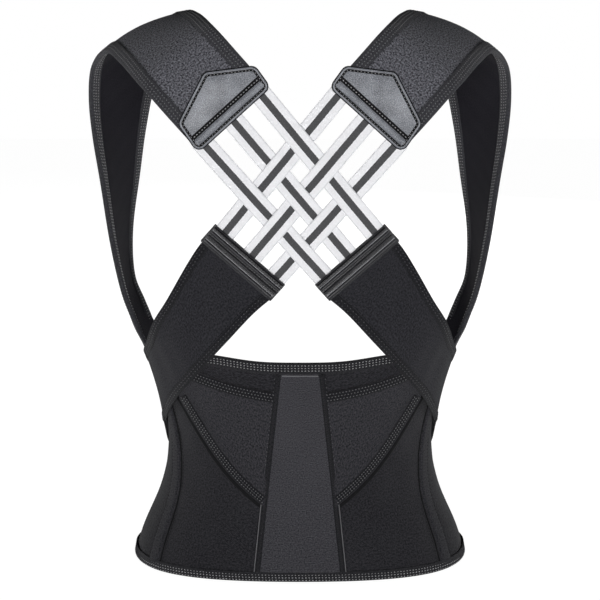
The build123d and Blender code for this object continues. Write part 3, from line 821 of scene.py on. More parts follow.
def placeSide(s, t):
    guess = 30 + 120 * t
    for _ in range(2):
        start = seamAt(guess)
        around = start + s * (2 - start)
        guess = beltHeight(around, t)
    return onTorso(around, guess, belt["panelOut"] + ripple(around, guess, 0.3) * np.sin(np.pi * s))


backCloth = cloth("backCloth", 150, 70, placeBack, belt["panelThick"], ["belt", "beltInner"])
finishPiece(backCloth, "belt_neoprene", "wrap", "back_panel_right", "back_panel_left")
onBothSides(cloth("sideClothRight", 70, 60, placeSide, belt["panelThick"], ["belt", "beltInner"]),
            "belt_neoprene", onWrap, "side_panel_", fill=0.7)


def foldedBinding(width, outer=4.95):
    # a tape folded over an edge: (distance from the edge, offset)
    return [(width, outer - 0.25), (width - 0.5, outer), (1.7, outer + 0.15), (0.6, outer - 0.4),
            (0.0, outer - 1.5), (0.0, 1.4), (0.6, 0.3), (1.7, -0.15), (width - 0.5, 0.0), (width, 0.2),
            (width, 0.75), (1.2, 0.8), (0.9, 1.4), (0.9, 3.5), (1.2, 4.1), (width, 4.1)]


def dotRows(lineAt, drops, pitch, size, slant=24):
    # rows of dots at several distances from an edge, every second row set off
    return [(lineAt(drop), pitch, pitch * (0.3 + 0.5 * (index % 2)), size, slant)
            for index, drop in enumerate(drops)]


def edgeDots(lineAt, top):
    # the dots on a top binding and a hem binding; lineAt takes height and offset
    size = belt["dotPitch"], belt["dot"]
    return (dotRows(lambda drop: lineAt(top(drop), belt["topDotsOut"]), belt["topDots"], *size)
            + dotRows(lambda rise: lineAt(rise, belt["hemDotsOut"]), belt["hemDots"], *size))


finishPiece(swept("topBinding", ringLine(-2, 2, 240, beltTop), foldedBinding(belt["topBinding"]), "binding"),
            "edge_binding", "wrap", "top_binding")
finishPiece(swept("hemBinding", ringLine(2, -2, 240, 0.0), foldedBinding(belt["hemBinding"]), "binding"),
            "edge_binding", "wrap", "hem_binding")
dots = edgeDots(lambda height, offset: ringLine(-2, 2, 500, height, offset),
                lambda drop: lambda around: beltTop(around) - drop)
finishPiece(sewn("beltEdgeStitches", dots, "paleThread"), "edge_binding", "wrap")
print("belt made")

# the centre panel and its seams

center = {"topHalf": 19.6, "bottomHalf": 39.5, "low": 9.8, "high": 198.0, "out": 5.7, "thick": 1.6,
          "tapeWidth": 5.0, "tapeOut": 5.6, "braidOut": 6.5, "pipingTop": 74, "ticksFoot": 76,
          "topPiping": [(-16.5, 196.6), (16.5, 196.6)], "topPipingOut": 5.9}


def centerHalf(height):
    lower = (center["high"] - height) / (center["high"] - center["low"])
    return center["topHalf"] + lower * (center["bottomHalf"] - center["topHalf"])


def placeCenter(s, t):
    height = center["low"] + t * (center["high"] - center["low"])
    return onBack((2 * s - 1) * centerHalf(height), height, center["out"] + 0.5 * np.sin(np.pi * s) ** 0.5)


def centerLine(side, beside, low, high, offset):
    return straightLine([(side * (centerHalf(height) + beside), height) for height in (low, high)], offset)


centerPanel = cloth("centerPanel", 40, 90, placeCenter, center["thick"], ["center"])
finishPiece(centerPanel, "ribbed_elastic", "wrap", "center_panel")
for name, side in sides.items():
    low, high = center["low"], center["high"]
    tape = swept("centerSeamTape" + name.title(), centerLine(side, 0, low, high, center["tapeOut"]),
                 tapeProfile(center["tapeWidth"], 0.9), "tape")
    finishPiece(tape, "seam_tape", "wrap", "center_seam_tape_" + name)
    braid = (centerLine(side, 0, low + 1, high - 1, center["braidOut"]), 2.3, 0, (4.0, 1.9, 1.5), -side * 38)
    ticks = (centerLine(side, 3.0, center["ticksFoot"], high - 2, 5.9), 4.2, 1, (1.7, 0.5, 0.5), 8)
    piping = centerLine(side, 3.1, low, center["pipingTop"], 5.2)
    for trim in (sewn("centerBraid" + name.title(), [braid], "cord"),
                 swept("centerPiping" + name.title(), piping, roundProfile(1.0, 1.3), "piping"),
                 sewn("centerSeamTicks" + name.title(), [ticks], "greyThread")):
        finishPiece(trim, "seam_tape", "wrap")
topPiping = straightLine(center["topPiping"], center["topPipingOut"])
finishPiece(swept("centerTopPiping", topPiping, roundProfile(1.1, 0.9), "piping"), "seam_tape", "wrap")

# the fans

fan = {"topInner": 180, "bottomInner": 71, "topOuter": 203, "bottomOuter": 169, "outer": 112, "out": 5.7,
       "thick": 1.6, "upperTape": 10.0, "lowerTape": 8.2, "lift": 2.2, "sag": 11.5, "upperSag": 2.8,
       "dot": (1.5, 0.8, 0.55), "upperDots": (2.0, 4.9, 7.8), "lowerDots": (2.2, 4.4, 6.6)}


def fanSpot(s, t):
    # (x, height) on the fan; s runs outwards and t upwards
    lowX, highX = centerHalf(fan["bottomInner"]), centerHalf(fan["topInner"])
    innerX = lowX + t * (highX - lowX)
    innerZ = fan["bottomInner"] + t * (fan["topInner"] - fan["bottomInner"])
    outerZ = fan["bottomOuter"] + t * (fan["topOuter"] - fan["bottomOuter"])
    bow = np.sin(np.pi * s) * (fan["sag"] + t * (fan["upperSag"] - fan["sag"]))
    return innerX + s * (fan["outer"] - innerX), innerZ + s * (outerZ - innerZ) - bow


def placeFan(s, t):
    x, height = fanSpot(s, t)
    lift = fan["lift"] * (1 - t) ** 5
    return onBack(x, height, fan["out"] + lift + ripple(x / 60, height, 0.3) * np.sin(np.pi * t))


def fanLine(side, t0, into, offset):
    # a line along the fan's upper (1) or lower (0) edge, so far into it
    s = np.linspace(0.02, 1, 140)
    x, height = fanSpot(s, np.full(140, float(t0)))
    flow = unit(np.stack([np.gradient(x), np.gradient(height)], axis=1))
    way = 1 if t0 == 0 else -1
    x, height = x - way * flow[:, 1] * into, height + way * flow[:, 0] * into
    keep = x > centerHalf(height) + 1.5
    x, height = side * x[keep], height[keep]
    return backLine(x, height, offset)


onBothSides(cloth("fanClothRight", 60, 50, placeFan, fan["thick"], ["fan"]),
            "fan_fabric", onWrap, "fan_", fill=0.5)
for name, side in sides.items():
    lifted = fan["out"] + fan["lift"] * 0.75
    upper = swept("fanUpperTape" + name.title(), fanLine(side, 1, fan["upperTape"] / 2, fan["out"] - 0.1),
                  tapeProfile(fan["upperTape"], 0.95), "tape")
    lower = swept("fanLowerTape" + name.title(), fanLine(side, 0, fan["lowerTape"] / 2, lifted),
                  tapeProfile(fan["lowerTape"], 0.95, 0.8), "tape")
    dots = dotRows(lambda into: fanLine(side, 1, into, fan["out"] + 0.9), fan["upperDots"], 3.0, fan["dot"])
    dots += dotRows(lambda into: fanLine(side, 0, into, lifted + 1.0), fan["lowerDots"], 2.8, fan["dot"])
    edge = swept("fanLowerPiping" + name.title(), fanLine(side, 0, 0.2, fan["out"] + fan["lift"] * 0.7),
                 roundProfile(0.9, 0.9), "cord")
    # a dark strip painted as the shadow under the fan's lifted lower edge
    under = swept("fanFoldUnder" + name.title(), fanLine(side, 0, -2.1, fan["out"] - 2.1),
                  roundProfile(5.4, 1.3), "darkThread")
    finishPiece(upper, "seam_tape", "wrap", "fan_tapes_" + name)
    for trim in (lower, sewn("fanStitches" + name.title(), dots, "dimThread"), edge, under):
        finishPiece(trim, "seam_tape", "wrap")
print("centre and fans made")

# the channels at the side seams

channel = {"width": 9.0, "top": 158.0, "low": 9.8, "height": 2.85, "out": 3.9, "seamTop": 190}


def sideLine(advance, offset, low=channel["low"], high=channel["top"]):
    # a line up the side seam, so far in front of it
    height = np.linspace(low, high, 90)
    around = aroundAtY(belt["seamFoot"] + belt["seamLean"] * height + advance, height, offset)
    return torsoLine(around, height, offset)


half, rise = channel["width"] / 2, channel["height"]
nearEdge, farEdge = (sideLine(advance, channel["out"])[0] for advance in (0, channel["width"]))
wider = np.linalg.norm(farEdge - nearEdge, axis=1) / channel["width"]
profile = [(-half, 0), (-half + 0.1, 1.9), (-half + 0.7, 2.6), (-half + 1.8, rise), (half - 1.8, rise),
           (half - 0.7, 2.6), (half - 0.1, 1.9), (half, 0)]
onBothSides(swept("sideChannelRight", sideLine(half, channel["out"]), profile, "channel",
                  np.stack([wider, np.linspace(1.3, 1.05, len(wider))], axis=1)),
            "seam_tape", onWrap, "side_stay_channel_")
rows = [(sideLine(advance, 6.5, channel["low"] + 1, channel["top"] - 1), 3.4, 0.5, (2.3, 0.6, 0.5), 0)
        for advance in (1.0, channel["width"] - 1.0)]
seamRow = (sideLine(-1.9, 3.8, high=channel["seamTop"]), 3.2, 0.5, (2.2, 0.7, 0.5), 12)
# the dark strip along the side seam is painted seam shadow
for trim in (sewn("sideChannelStitchesRight", rows, "darkThread"),
             swept("sideSeamFoldRight", sideLine(-0.5, 4.0), roundProfile(1.7, 0.7), "darkThread"),
             sewn("sideSeamStitchesRight", [seamRow], "darkThread")):
    onBothSides(trim, "seam_tape", onWrap)

# the wings

wing = {
    "back": [((21.4, 274.5), (80.5, 330)), ((42, 256.8), (92, 315)), ((64, 232.3), (102.8, 296.5)),
             ((86, 206.7), (117.3, 270)), ((101, 187.8), (130.5, 248)), ((109.8, 176), (138.2, 228.5))],
    "side": [((-50, 154), (-48.7, 213.5)), ((-25, 136.5), (-20, 200)), ((10, 122), (12, 181)),
             ((45, 92), (45, 160)), ((80, 79), (80, 142)), ((93.5, 77.6), (93.5, 138.8))],
    "out": 9.5, "thick": 2.4, "tape": 8.0, "pressed": 1.2, "seam": (3.4, 0.5, (2.5, 0.8, 0.7), 0),
    "backLies": 8.3, "sideLies": 3.5, "pastHinge": 3.3, "frontFrom": 93,
}


def wingCourses():
    # the lower and upper edges as places round the torso and heights
    courses = []
    for edge in (0, 1):
        arounds, heights = [], []
        for pair in wing["back"]:
            x, z = pair[edge]
            arounds.append(float(aroundAtX(x, z, wing["backLies"])))
            heights.append(z)
        for pair in wing["side"]:
            y, z = pair[edge]
            onSide = float(aroundAtY(min(y, torso["hingeY"] + wing["pastHinge"]), z, wing["sideLies"]))
            arounds.append(min(2.0, onSide) if y < wing["frontFrom"] else 2.0)
            heights.append(z)
        courses.append((arounds, heights))
    return courses


wingEdges = wingCourses()
wingSteps = np.linspace(0, 1, len(wingEdges[0][0]))


def wingSpot(s, t):
    (lowAround, lowHeight), (highAround, highHeight) = (
        [smoothCourse(wingSteps, values, s) for values in edge] for edge in wingEdges)
    return np.minimum(lowAround + t * (highAround - lowAround), 2.0), lowHeight + t * (highHeight - lowHeight)


def wingSwell(s, t):
    # foam pressed down at the edges, with slight creases across near the waist
    crease = 0.35 * np.sin(s * 60 + t * 3) * np.exp(-((s - 0.48) / 0.12) ** 2)
    return 0.35 * np.sin(np.pi * t) ** 0.6 + crease * np.sin(np.pi * t) - 0.35


def wingPress(s):
    # pulled tight round the waist, the wing lies closer there
    return wing["pressed"] * ease((s - 0.58) / 0.1) * ease((0.94 - s) / 0.1)


def placeWing(s, t):
    around, height = wingSpot(s, t)
    return onTorso(around, height, wing["out"] + wingSwell(s, t) - wingPress(s))


def wingLine(t0, into, offset, start=0.0, end=1.0, count=260):
    # a line along the wing beside its lower (0) or upper (1) edge
    s = np.linspace(start, end, count)
    low, high = (onTorso(*wingSpot(s, np.full(count, t)), 9) for t in (0.0, 1.0))
    width = np.linalg.norm(low - high, axis=1)
    around, height = wingSpot(s, into / width if t0 == 0 else 1 - into / width)
    return onTorso(around, height, offset - wingPress(s)), outwardAt(around, height, offset)


onBothSides(cloth("wingClothRight", 170, 34, placeWing, wing["thick"], ["wing", "beltInner"]),
            "wing_neoprene", onWrap, "wing_", fill=0.6)
wingTape = tapeProfile(wing["tape"], 0.95, 0.5)
for t0, title, stems in ((0, "wingLowerTapeRight", ["wing_tapes_"]), (1, "wingUpperTapeRight", [])):
    line = wingLine(t0, wing["tape"] / 2 - 0.2, wing["out"] - 0.35, 0.02)
    onBothSides(swept(title, line, wingTape, "tape"), "seam_tape", onWrap, *stems)
rows, faint = [], []
for t0 in (0, 1):
    rows.append((wingLine(t0, wing["tape"] + 0.8, wing["out"] - 0.2, 0.035), *wing["seam"]))
    for into in (2.2, 5.4):
        faint.append((wingLine(t0, into, wing["out"] + 0.55, 0.03), 3.6, 0.4 + into, (1.6, 0.55, 0.4), 18))
onBothSides(sewn("wingSeamStitchesRight", rows, "darkThread"), "seam_tape", onWrap)
onBothSides(sewn("wingTapeStitchesRight", faint, "greyThread"), "seam_tape", onWrap)

# the tabs where the bands start

tab = {"length": 83.0, "width": 20.0, "angle": 41.4, "middle": (51.0, 304.0), "out": 11.0, "thick": 1.3,
       "innerOut": 6.8, "innerThick": 1.2, "seams": (-3.0, 0.4, 6.6),
       # across the tab, width, height and finish; the pale finish paints highlight lines on two of the ridges
       "ridges": [(-7.2, 3.8, 1.1, "tab"), (-4.6, 0.9, 1.5, "tabHighlight"), (-0.7, 1.3, 0.5, "darkThread"),
                  (2.6, 3.2, 1.0, "tab"), (5.0, 0.9, 1.5, "tabHighlight"), (7.8, 1.3, 0.5, "darkThread"),
                  (9.1, 1.2, 1.0, "tab")]}
tabTurn = math.radians(tab["angle"])


def tabSpot(along, across):
    return (tab["middle"][0] + along * math.cos(tabTurn) - across * math.sin(tabTurn),
            tab["middle"][1] + along * math.sin(tabTurn) + across * math.cos(tabTurn))


def placeTab(s, t):
    along, across = (s - 0.5) * tab["length"], (t - 0.5) * tab["width"]
    return onBack(*tabSpot(along, across), tab["out"] + 0.25 * np.cos(across * 1.1) - 0.2)


def placeTabInner(s, t):
    return onBack(*tabSpot((s - 0.5) * tab["length"], (t - 0.5) * tab["width"]), tab["innerOut"])


def tabLine(across, offset, trim=1.5):
    along = np.linspace(-tab["length"] / 2 + trim, tab["length"] / 2 - trim, 70)
    return backLine(*tabSpot(along, np.full(70, across)), offset)


onBothSides(cloth("tabOuterRight", 60, 24, placeTab, tab["thick"], ["tab"], 0.6),
            "tab_leather", onWrap, "tab_outer_")
onBothSides(cloth("tabInnerRight", 40, 10, placeTabInner, tab["innerThick"], ["tab"], 0.4),
            "tab_leather", onWrap, "tab_inner_")
for index, (across, width, height, material) in enumerate(tab["ridges"]):
    ridge = swept("tabRidge%dRight" % index, tabLine(across, tab["out"] - 0.3),
                  roundProfile(width, height + 0.5), material)
    onBothSides(ridge, "tab_leather", onWrap)
rows = [(tabLine(across, tab["out"] - 0.05, 3), 2.9, 0.4, (2.0, 0.6, 0.55), 0) for across in tab["seams"]]
onBothSides(sewn("tabStitchesRight", rows, "darkThread"), "tab_leather", onWrap)
print("wings and tabs made")

# the band lattice

lattice = {"y": -107.8, "width": 19.4, "thick": 1.2, "overlap": 7.0, "ramp": 9.0, "lift": 0.8,
           "tabs": [(21.3, 290.8), (42.1, 311.0), (65.5, 333.0)],
           "patches": [(83.2, 408.7), (59.0, 431.8), (33.3, 453.5)], "stillBelow": 338, "movesAbove": 403}
bandEnds = [(letter, index + 1, np.array([side * low[0], low[1]]), np.array([-side * high[0], high[1]]))
            for side, letter in ((1, "a"), (-1, "b"))
            for index, (low, high) in enumerate(zip(lattice["tabs"], lattice["patches"]))]


def crossingAt(start, end, otherStart, otherEnd):
    # how far along a band another crosses it, and the sine of the angle between them
    way = (end - start) / np.linalg.norm(end - start)
    other = (otherEnd - otherStart) / np.linalg.norm(otherEnd - otherStart)
    gap = otherStart - start
    turn = way[0] * other[1] - way[1] * other[0]
    return (gap[0] * other[1] - gap[1] * other[0]) / turn, abs(turn)


for letter, number, start, end in bandEnds:
    length = np.linalg.norm(end - start)
    way = (end - start) / length
    course = []
    for otherLetter, otherNumber, otherStart, otherEnd in bandEnds:
        if otherLetter != letter:
            spot, turn = crossingAt(start, end, otherStart, otherEnd)
            over = ((number + otherNumber) % 2 == 0) == (letter == "a")
            flat = lattice["width"] / 2 / turn + 0.3
            lift = -lattice["lift"] if over else lattice["lift"]
            course += [(spot - flat, lift), (spot + flat, lift)]
    course.sort()
    spots = [-lattice["overlap"], course[0][0] - lattice["ramp"], *(spot for spot, lift in course),
             course[-1][0] + lattice["ramp"], length + lattice["overlap"]]
    lifts = [0, 0, *(lift for spot, lift in course), 0, 0]

    def placeBand(s, t):
        run = -lattice["overlap"] + t * (length + 2 * lattice["overlap"])
        lift = np.zeros(np.shape(run))
        for k in range(len(spots) - 1):
            inside = (run >= spots[k]) & (run <= spots[k + 1])
            part = ease((run - spots[k]) / max(spots[k + 1] - spots[k], 0.01))
            lift = np.where(inside, lifts[k] + part * (lifts[k + 1] - lifts[k]), lift)
        across = (s - 0.5) * lattice["width"]
        x = start[0] + way[0] * run - way[1] * across
        z = start[1] + way[1] * run + way[0] * across
        return np.stack([x, lattice["y"] + lift - lattice["thick"] / 2, z], axis=-1)

    band = cloth("band" + letter.upper() + str(number), 16, 110, placeBand, lattice["thick"], ["band"], 0.35)
    shoulder = "left" if letter == "a" else "right"
    rides = shoulderBend(shoulder, 0, lattice["y"] * mm, lattice["stillBelow"], lattice["movesAbove"])
    finishPiece(band, "band_elastic", rides, "band_%s%d" % (letter, number))
print("bands made")

# the shoulder patches

patch = {"corners": [(90.2, 403.3), (26.0, 461.3), (39.5, 480.0), (84.0, 474.5), (107.6, 429.0)],
         "radius": 6.5, "seat": -109.3, "innerSeat": -106.3, "innerHeight": 22.0, "seamRise": 12.6,
         # the rim's rise, then how far in and up each step of the leather goes
         "steps": [1.15, (0.5, 0.45), (0.7, 0.2), (0.6, -0.25), (0.6, -0.35), (1.6, 0.05), (0.8, 0.2)],
         "innerSteps": [1.0, (0.6, 0.35), (0.8, 0.0), (0.6, -0.3), (1.2, 0.1)],
         # a dark line painted as the shadow round the patch's edge, and a pale rim painted as its highlight:
         # how far in, rise, width and height
         "edges": [("patchPaint", 0.35, 0.75, (1.9, 0.75), "darkThread"),
                   ("patchRim", 1.6, 1.5, (1.1, 0.7), "patchHighlight")],
         "groove": 3.1,
         # above the foot, held back from the sides, width, height and finish
         "ridges": [(7.2, 3.6, 6.2, 0.95, "patch"), (12.6, 4.2, 3.6, 0.25, "darkThread"),
                    (11.0, 4.2, 1.1, 0.5, "darkThread"), (14.2, 4.2, 1.1, 0.5, "darkThread")]}


def roundedOutline(corners, radius, steps=7):
    outline = []
    for i in range(len(corners)):
        before, here, after = (np.array(corners[(i + k) % len(corners)], float) for k in (-1, 0, 1))
        before, after = unit(before - here), unit(after - here)
        half = math.acos(float(np.dot(before, after))) / 2
        reach = radius / math.tan(half)
        middle = here + unit(before + after) * radius / math.sin(half)
        first, last = here + before * reach - middle, here + after * reach - middle
        for k in range(steps + 1):
            mixed = first * (1 - k / steps) + last * (k / steps)
            outline.append(middle + unit(mixed) * radius)
    return np.array(outline)


def resampled(outline, spacing):
    closed = np.vstack([outline, outline[:1]])
    run = runAlong(closed)
    return readAt(np.linspace(0, run[-1], max(int(run[-1] / spacing), 12), endpoint=False), run, closed)


def inward(outline, distance):
    # the outline drawn in by a distance
    flow = unit(np.roll(outline, -1, axis=0) - np.roll(outline, 1, axis=0))
    left = np.stack([-flow[:, 1], flow[:, 0]], axis=1)
    if np.sum(left * (outline.mean(axis=0) - outline)) < 0:
        left = -left
    return outline + left * distance


def plate(name, outline, seat, steps, material, way=-1):
    # a plate cut to an outline: its rim goes up from the seat, then steps are (inset, rise)
    bpy.ops.object.select_all(action="DESELECT")
    bpy.ops.mesh.primitive_circle_add(vertices=len(outline), radius=1, fill_type="NGON")
    piece = bpy.context.object
    piece.name = name
    for corner, (x, z) in zip(piece.data.vertices, outline):
        corner.co = (x * mm, seat * mm, z * mm)
    bpy.ops.object.mode_set(mode="EDIT")
    bpy.ops.mesh.select_all(action="SELECT")
    bpy.ops.mesh.extrude_region_move(TRANSFORM_OT_translate={"value": (0, way * steps[0] * mm, 0)})
    for inset, rise in steps[1:]:
        bpy.ops.mesh.inset(thickness=inset * mm, depth=0, use_even_offset=True)
        bpy.ops.transform.translate(value=(0, way * rise * mm, 0))
    turnOutward()
    bpy.ops.object.shade_smooth_by_angle(angle=math.radians(55))
    keepUv(piece.data, readAll(piece.data.vertices, "co")[:, [0, 2]])
    piece.data.materials.append(finish[material])
    return piece


patchOutline = resampled(roundedOutline(patch["corners"], patch["radius"]), 2.2)
patchFoot = np.array(patch["corners"][0], float), np.array(patch["corners"][1], float)
footWay = unit(patchFoot[1] - patchFoot[0])
footUp = np.array([footWay[1], -footWay[0]])
if np.dot(footUp, patchOutline.mean(axis=0) - patchFoot[0]) < 0:
    footUp = -footUp


def patchChord(rise, trim):
    # the line across the patch at a distance above its foot, held back from its sides
    level = (patchOutline - patchFoot[0]) @ footUp - rise
    run = (patchOutline - patchFoot[0]) @ footWay
    hits = []
    for i in range(len(level)):
        j = (i + 1) % len(level)
        if level[i] * level[j] < 0:
            hits.append(run[i] + (run[j] - run[i]) * level[i] / (level[i] - level[j]))
    low, high = min(hits) + trim, max(hits) - trim
    share = np.linspace(low, high, 60)
    return patchFoot[0] + share[:, None] * footWay + rise * footUp


def seatLine(points, rise):
    # a line over the patch, so far out of its seat
    path = np.stack([points[:, 0], np.full(len(points), patch["seat"] - rise), points[:, 1]], axis=1)
    return path, np.tile([0.0, -1.0, 0.0], (len(points), 1))


def finishPatch(piece, *stems):
    onBothSides(piece, "patch_leather", {name: name + "_shoulder_strap" for name in sides}, *stems)


finishPatch(plate("patchOuterRight", patchOutline, patch["seat"], patch["steps"], "patch"), "patch_outer_")
footChord, topChord = patchChord(1.0, 2.0), patchChord(patch["innerHeight"], 1.0)
innerCorners = [footChord[0], footChord[-1], topChord[-1], topChord[0]]
innerOutline = resampled(roundedOutline(innerCorners, 4), 2.5)
finishPatch(plate("patchInnerRight", innerOutline, patch["innerSeat"], patch["innerSteps"], "patch", 1),
            "patch_inner_")
for title, into, rise, size, material in patch["edges"]:
    rim = inward(patchOutline, into)
    line = seatLine(np.vstack([rim, rim[:2]]), rise)
    finishPatch(swept(title + "Right", line, roundProfile(*size), material))
groove = inward(patchOutline, patch["groove"])
grooveLine = seatLine(np.vstack([groove, groove[:1]]), 1.5)
finishPatch(swept("patchGrooveRight", grooveLine, roundProfile(2.0, 0.35), "darkThread"))
rows = [(grooveLine, 3.1, 0.4, (1.9, 0.75, 1.2), 0),
        (seatLine(patchChord(patch["seamRise"], 5.0), 1.75), 3.1, 0.6, (2.0, 0.9, 1.0), 0)]
finishPatch(sewn("patchStitchesRight", rows, "paleThread"))
for index, (rise, trim, width, height, material) in enumerate(patch["ridges"]):
    line = seatLine(patchChord(rise, trim), 1.2)
    finishPatch(swept("patchRidge%dRight" % index, line, roundProfile(width, height + 0.4), material))
print("patches made")

# the shoulder straps

# middle of the strap, its direction across (towards the neck), and how far its edges drop
strapRoute = [((66, -107.8, 441), (-0.742, 0, 0.670), 0.15), ((78.5, -107.8, 455), (-0.748, 0, 0.663), 0.15),
              ((90, -107.4, 468), (-0.755, 0, 0.655), 0.2), ((101, -103.2, 480), (-0.77, 0.01, 0.635), 0.5),
              ((112, -93.5, 490.5), (-0.80, 0.03, 0.60), 1.6), ((128, -61, 503), (-0.86, 0.10, 0.50), 4),
              ((144, -15, 507), (-0.89, 0.22, 0.40), 7), ((161, 27, 482), (-0.83, 0.48, 0.28), 5),
              ((171, 50, 442), (-0.68, 0.72, 0.14), 3), ((174.5, 57, 400), (-0.51, 0.85, 0.04), 2),
              ((174.5, 54, 355), (-0.34, 0.94, 0), 2), ((172.5, 36, 303), (-0.14, 0.99, 0), 1.5),
              ((166, 13, 262), (-0.03, 1, 0), 2), ((158, 5, 236), (-0.03, 1, 0), 4.5),
              ((147.5, 4, 206), (-0.03, 1, 0), 7), ((140.4, 4, 188), (-0.03, 1, 0), 7),
              ((135.0, 4, 168), (-0.03, 1, 0), 7), ((130.4, 4, 150), (-0.03, 1, 0), 7)]
strap = {"width": 84.0, "thick": 3.0, "binding": 12.5, "face": 2.45, "steps": 10, "thinFrom": 228.0,
         "thinTo": 208.0, "thin": 0.4, "stillBelow": 214.0, "movesAbove": 250.0, "bendAt": (0.15, 0.008),
         "bindingRows": (3.4, 6.2, 9.4), "bindingStitch": (1.7, 0.7, 0.5), "lineCount": 420}


def courseThrough(values, steps):
    # a smooth course through values, each stretch cut into steps
    values = np.array(values, float)
    before = np.vstack([values[:1], values[:-1]])
    points = []
    for k in range(len(values) - 1):
        start, end = values[k], values[k + 1]
        startPull, endPull = (end - before[k]) / 2, (values[min(k + 2, len(values) - 1)] - start) / 2
        for i in range(steps):
            t = i / steps
            points.append(start * (2 * t ** 3 - 3 * t ** 2 + 1) + end * (3 * t ** 2 - 2 * t ** 3)
                          + startPull * (t ** 3 - 2 * t ** 2 + t) + endPull * (t ** 3 - t ** 2))
    points.append(values[-1])
    return np.array(points)


strapMiddle = courseThrough([row[0] for row in strapRoute], strap["steps"])
strapAcross = unit(courseThrough([row[1] for row in strapRoute], strap["steps"]))
strapCamber = courseThrough([[row[2]] for row in strapRoute], strap["steps"])[:, 0]
strapFlow = tangents(strapMiddle)
strapFlow = unit(strapFlow - strapAcross * np.sum(strapFlow * strapAcross, axis=1, keepdims=True))
strapOut = np.cross(strapFlow, strapAcross)
strapRun = runAlong(strapMiddle)
thickShare = ease((strapMiddle[:, 2] - strap["thinTo"]) / (strap["thinFrom"] - strap["thinTo"]))
strapThin = strap["thin"] + (1 - strap["thin"]) * thickShare
strapThin[: len(strapThin) // 2] = 1


def along(values, run):
    return np.interp(run, strapRun, values) if values.ndim == 1 else readAt(run, strapRun, values)


def strapSpot(across, run, out):
    # a place on the strap: across its width, along its run, and out from its middle
    half = strap["width"] / 2
    drop = along(strapCamber, run) * (across / half) ** 2
    rise = out * along(strapThin, run) - drop
    return (along(strapMiddle, run) + along(strapAcross, run) * np.asarray(across)[..., None]
            + unit(along(strapOut, run)) * rise[..., None])


def strapLine(across, out):
    count = strap["lineCount"]
    run = np.linspace(0, strapRun[-1], count)
    path = strapSpot(np.full(count, float(across)), run, np.full(count, float(out)))
    tilt = 2 * along(strapCamber, run) * across / (strap["width"] / 2) ** 2
    return path, unit(unit(along(strapOut, run)) + along(strapAcross, run) * tilt[:, None])


def placeStrap(s, t):
    across, run = (s - 0.5) * (strap["width"] - 3.0), t * strapRun[-1]
    puff = 0.55 * np.clip(1 - (2 * s - 1) ** 8, 0, 1)
    dimple = 0.18 * np.sin(run * 0.21 + s * 5) * np.sin(run * 0.083 + s * 11)
    return strapSpot(across, run, strap["thick"] / 2 - 0.45 + puff + dimple)


def edgeProfile(way, width, face):
    # a tape folded over a strap's edge
    outline = [(0.4, face - 0.55), (0.0, face - 1.5), (0.0, -face + 1.5), (0.4, -face + 0.55), (1.6, -face),
               (width - 0.8, -face), (width, -face + 0.5), (width, -face + 0.9), (1.4, -face + 0.9),
               (1.4, face - 0.9), (width, face - 0.9), (width, face - 0.45), (width - 0.8, face), (1.6, face)]
    return [(way * d, o) for d, o in outline]


strapRides = {name: shoulderBend(name, side * strap["bendAt"][0], strap["bendAt"][1], strap["stillBelow"],
                                 strap["movesAbove"]) for name, side in sides.items()}
onBothSides(cloth("strapClothRight", 30, 330, placeStrap, strap["thick"], ["strap", "strapInner"]),
            "strap_webbing", strapRides, "shoulder_strap_", "strap_anchor_", fill=0.6)
thinning = along(strapThin, np.linspace(0, strapRun[-1], strap["lineCount"]))
flatSwell = np.stack([np.ones(strap["lineCount"]), thinning], axis=1)
for title, way in (("neckBinding", 1), ("armBinding", -1)):
    edge = way * strap["width"] / 2
    folded = edgeProfile(way, strap["binding"], strap["face"])
    onBothSides(swept(title + "Right", strapLine(edge, 0), folded, "strapBinding", flatSwell),
                "edge_binding", strapRides, title.replace("Binding", "_binding_"))
    rows, inner = [], []
    for into in strap["bindingRows"]:
        stitch = 2.9, 0.5 + into * 0.3, strap["bindingStitch"], 40
        rows.append((strapLine(edge - way * into, strap["face"] + 0.12), *stitch))
        path, outward = strapLine(edge - way * into, -strap["face"] - 0.12)
        inner.append(((path, -outward), *stitch))
    onBothSides(sewn(title + "StitchesRight", rows, "dimThread"), "edge_binding", strapRides)
    onBothSides(sewn(title + "InnerStitchesRight", inner, "paleThread"), "edge_binding", strapRides)
fieldEdge, fieldOut = strap["width"] / 2 - strap["binding"] - 0.6, strap["thick"] / 2 + 0.5
rows = [(strapLine(way * fieldEdge, fieldOut), 3.2, 1.0, (2.3, 0.55, 0.4), 0) for way in (-1, 1)]
onBothSides(sewn("strapFieldStitchesRight", rows, "darkThread"), "edge_binding", strapRides)
print("straps made")

# the front flaps and their closure

front = {"hinge": 95.0, "lap": 0.4, "closure": 20.0, "gap": 0.1, "low": 14.0, "high": 141.0, "strapLow": 78.0,
         "strapHigh": 139.0, "pullHinge": 75.0, "reach": {"left": 60.0, "right": 44.0}, "inset": 5.0,
         "hingeFoot": (95, torso["hingeY"]), "hingeReach": (84, 92),
         # where a pull end starts to bend and where it has turned, in metres
         "pullFoot": (0.0768, 0.101, 0.108), "pullReach": (0.070, 0.104, 0.108)}


def frontPatch(name, x0, x1, low, high, outer, thickness, materials, edge=0.4, wave=0.0):
    def place(s, t):
        x, height = x0 + s * (x1 - x0), low + t * (high - low)
        swell = wave * np.sin(s * 9 + t * 4) * np.sin(np.pi * s) * np.sin(np.pi * t)
        return onTorso(aroundAtFront(x), height, outer + swell)
    columns, rows = max(int(abs(x1 - x0) / 2.5), 6), max(int((high - low) / 3), 8)
    return cloth(name, columns, rows, place, thickness, materials, edge)


def uprightLine(x, low, high, count, out, outwardFrom=None):
    # up the front at x; its ways out may be read at another distance from the torso
    height, around = np.linspace(low, high, count), np.full(count, float(aroundAtFront(x)))
    outwardFrom = out if outwardFrom is None else outwardFrom
    return onTorso(around, height, out), outwardAt(around, height, outwardFrom)


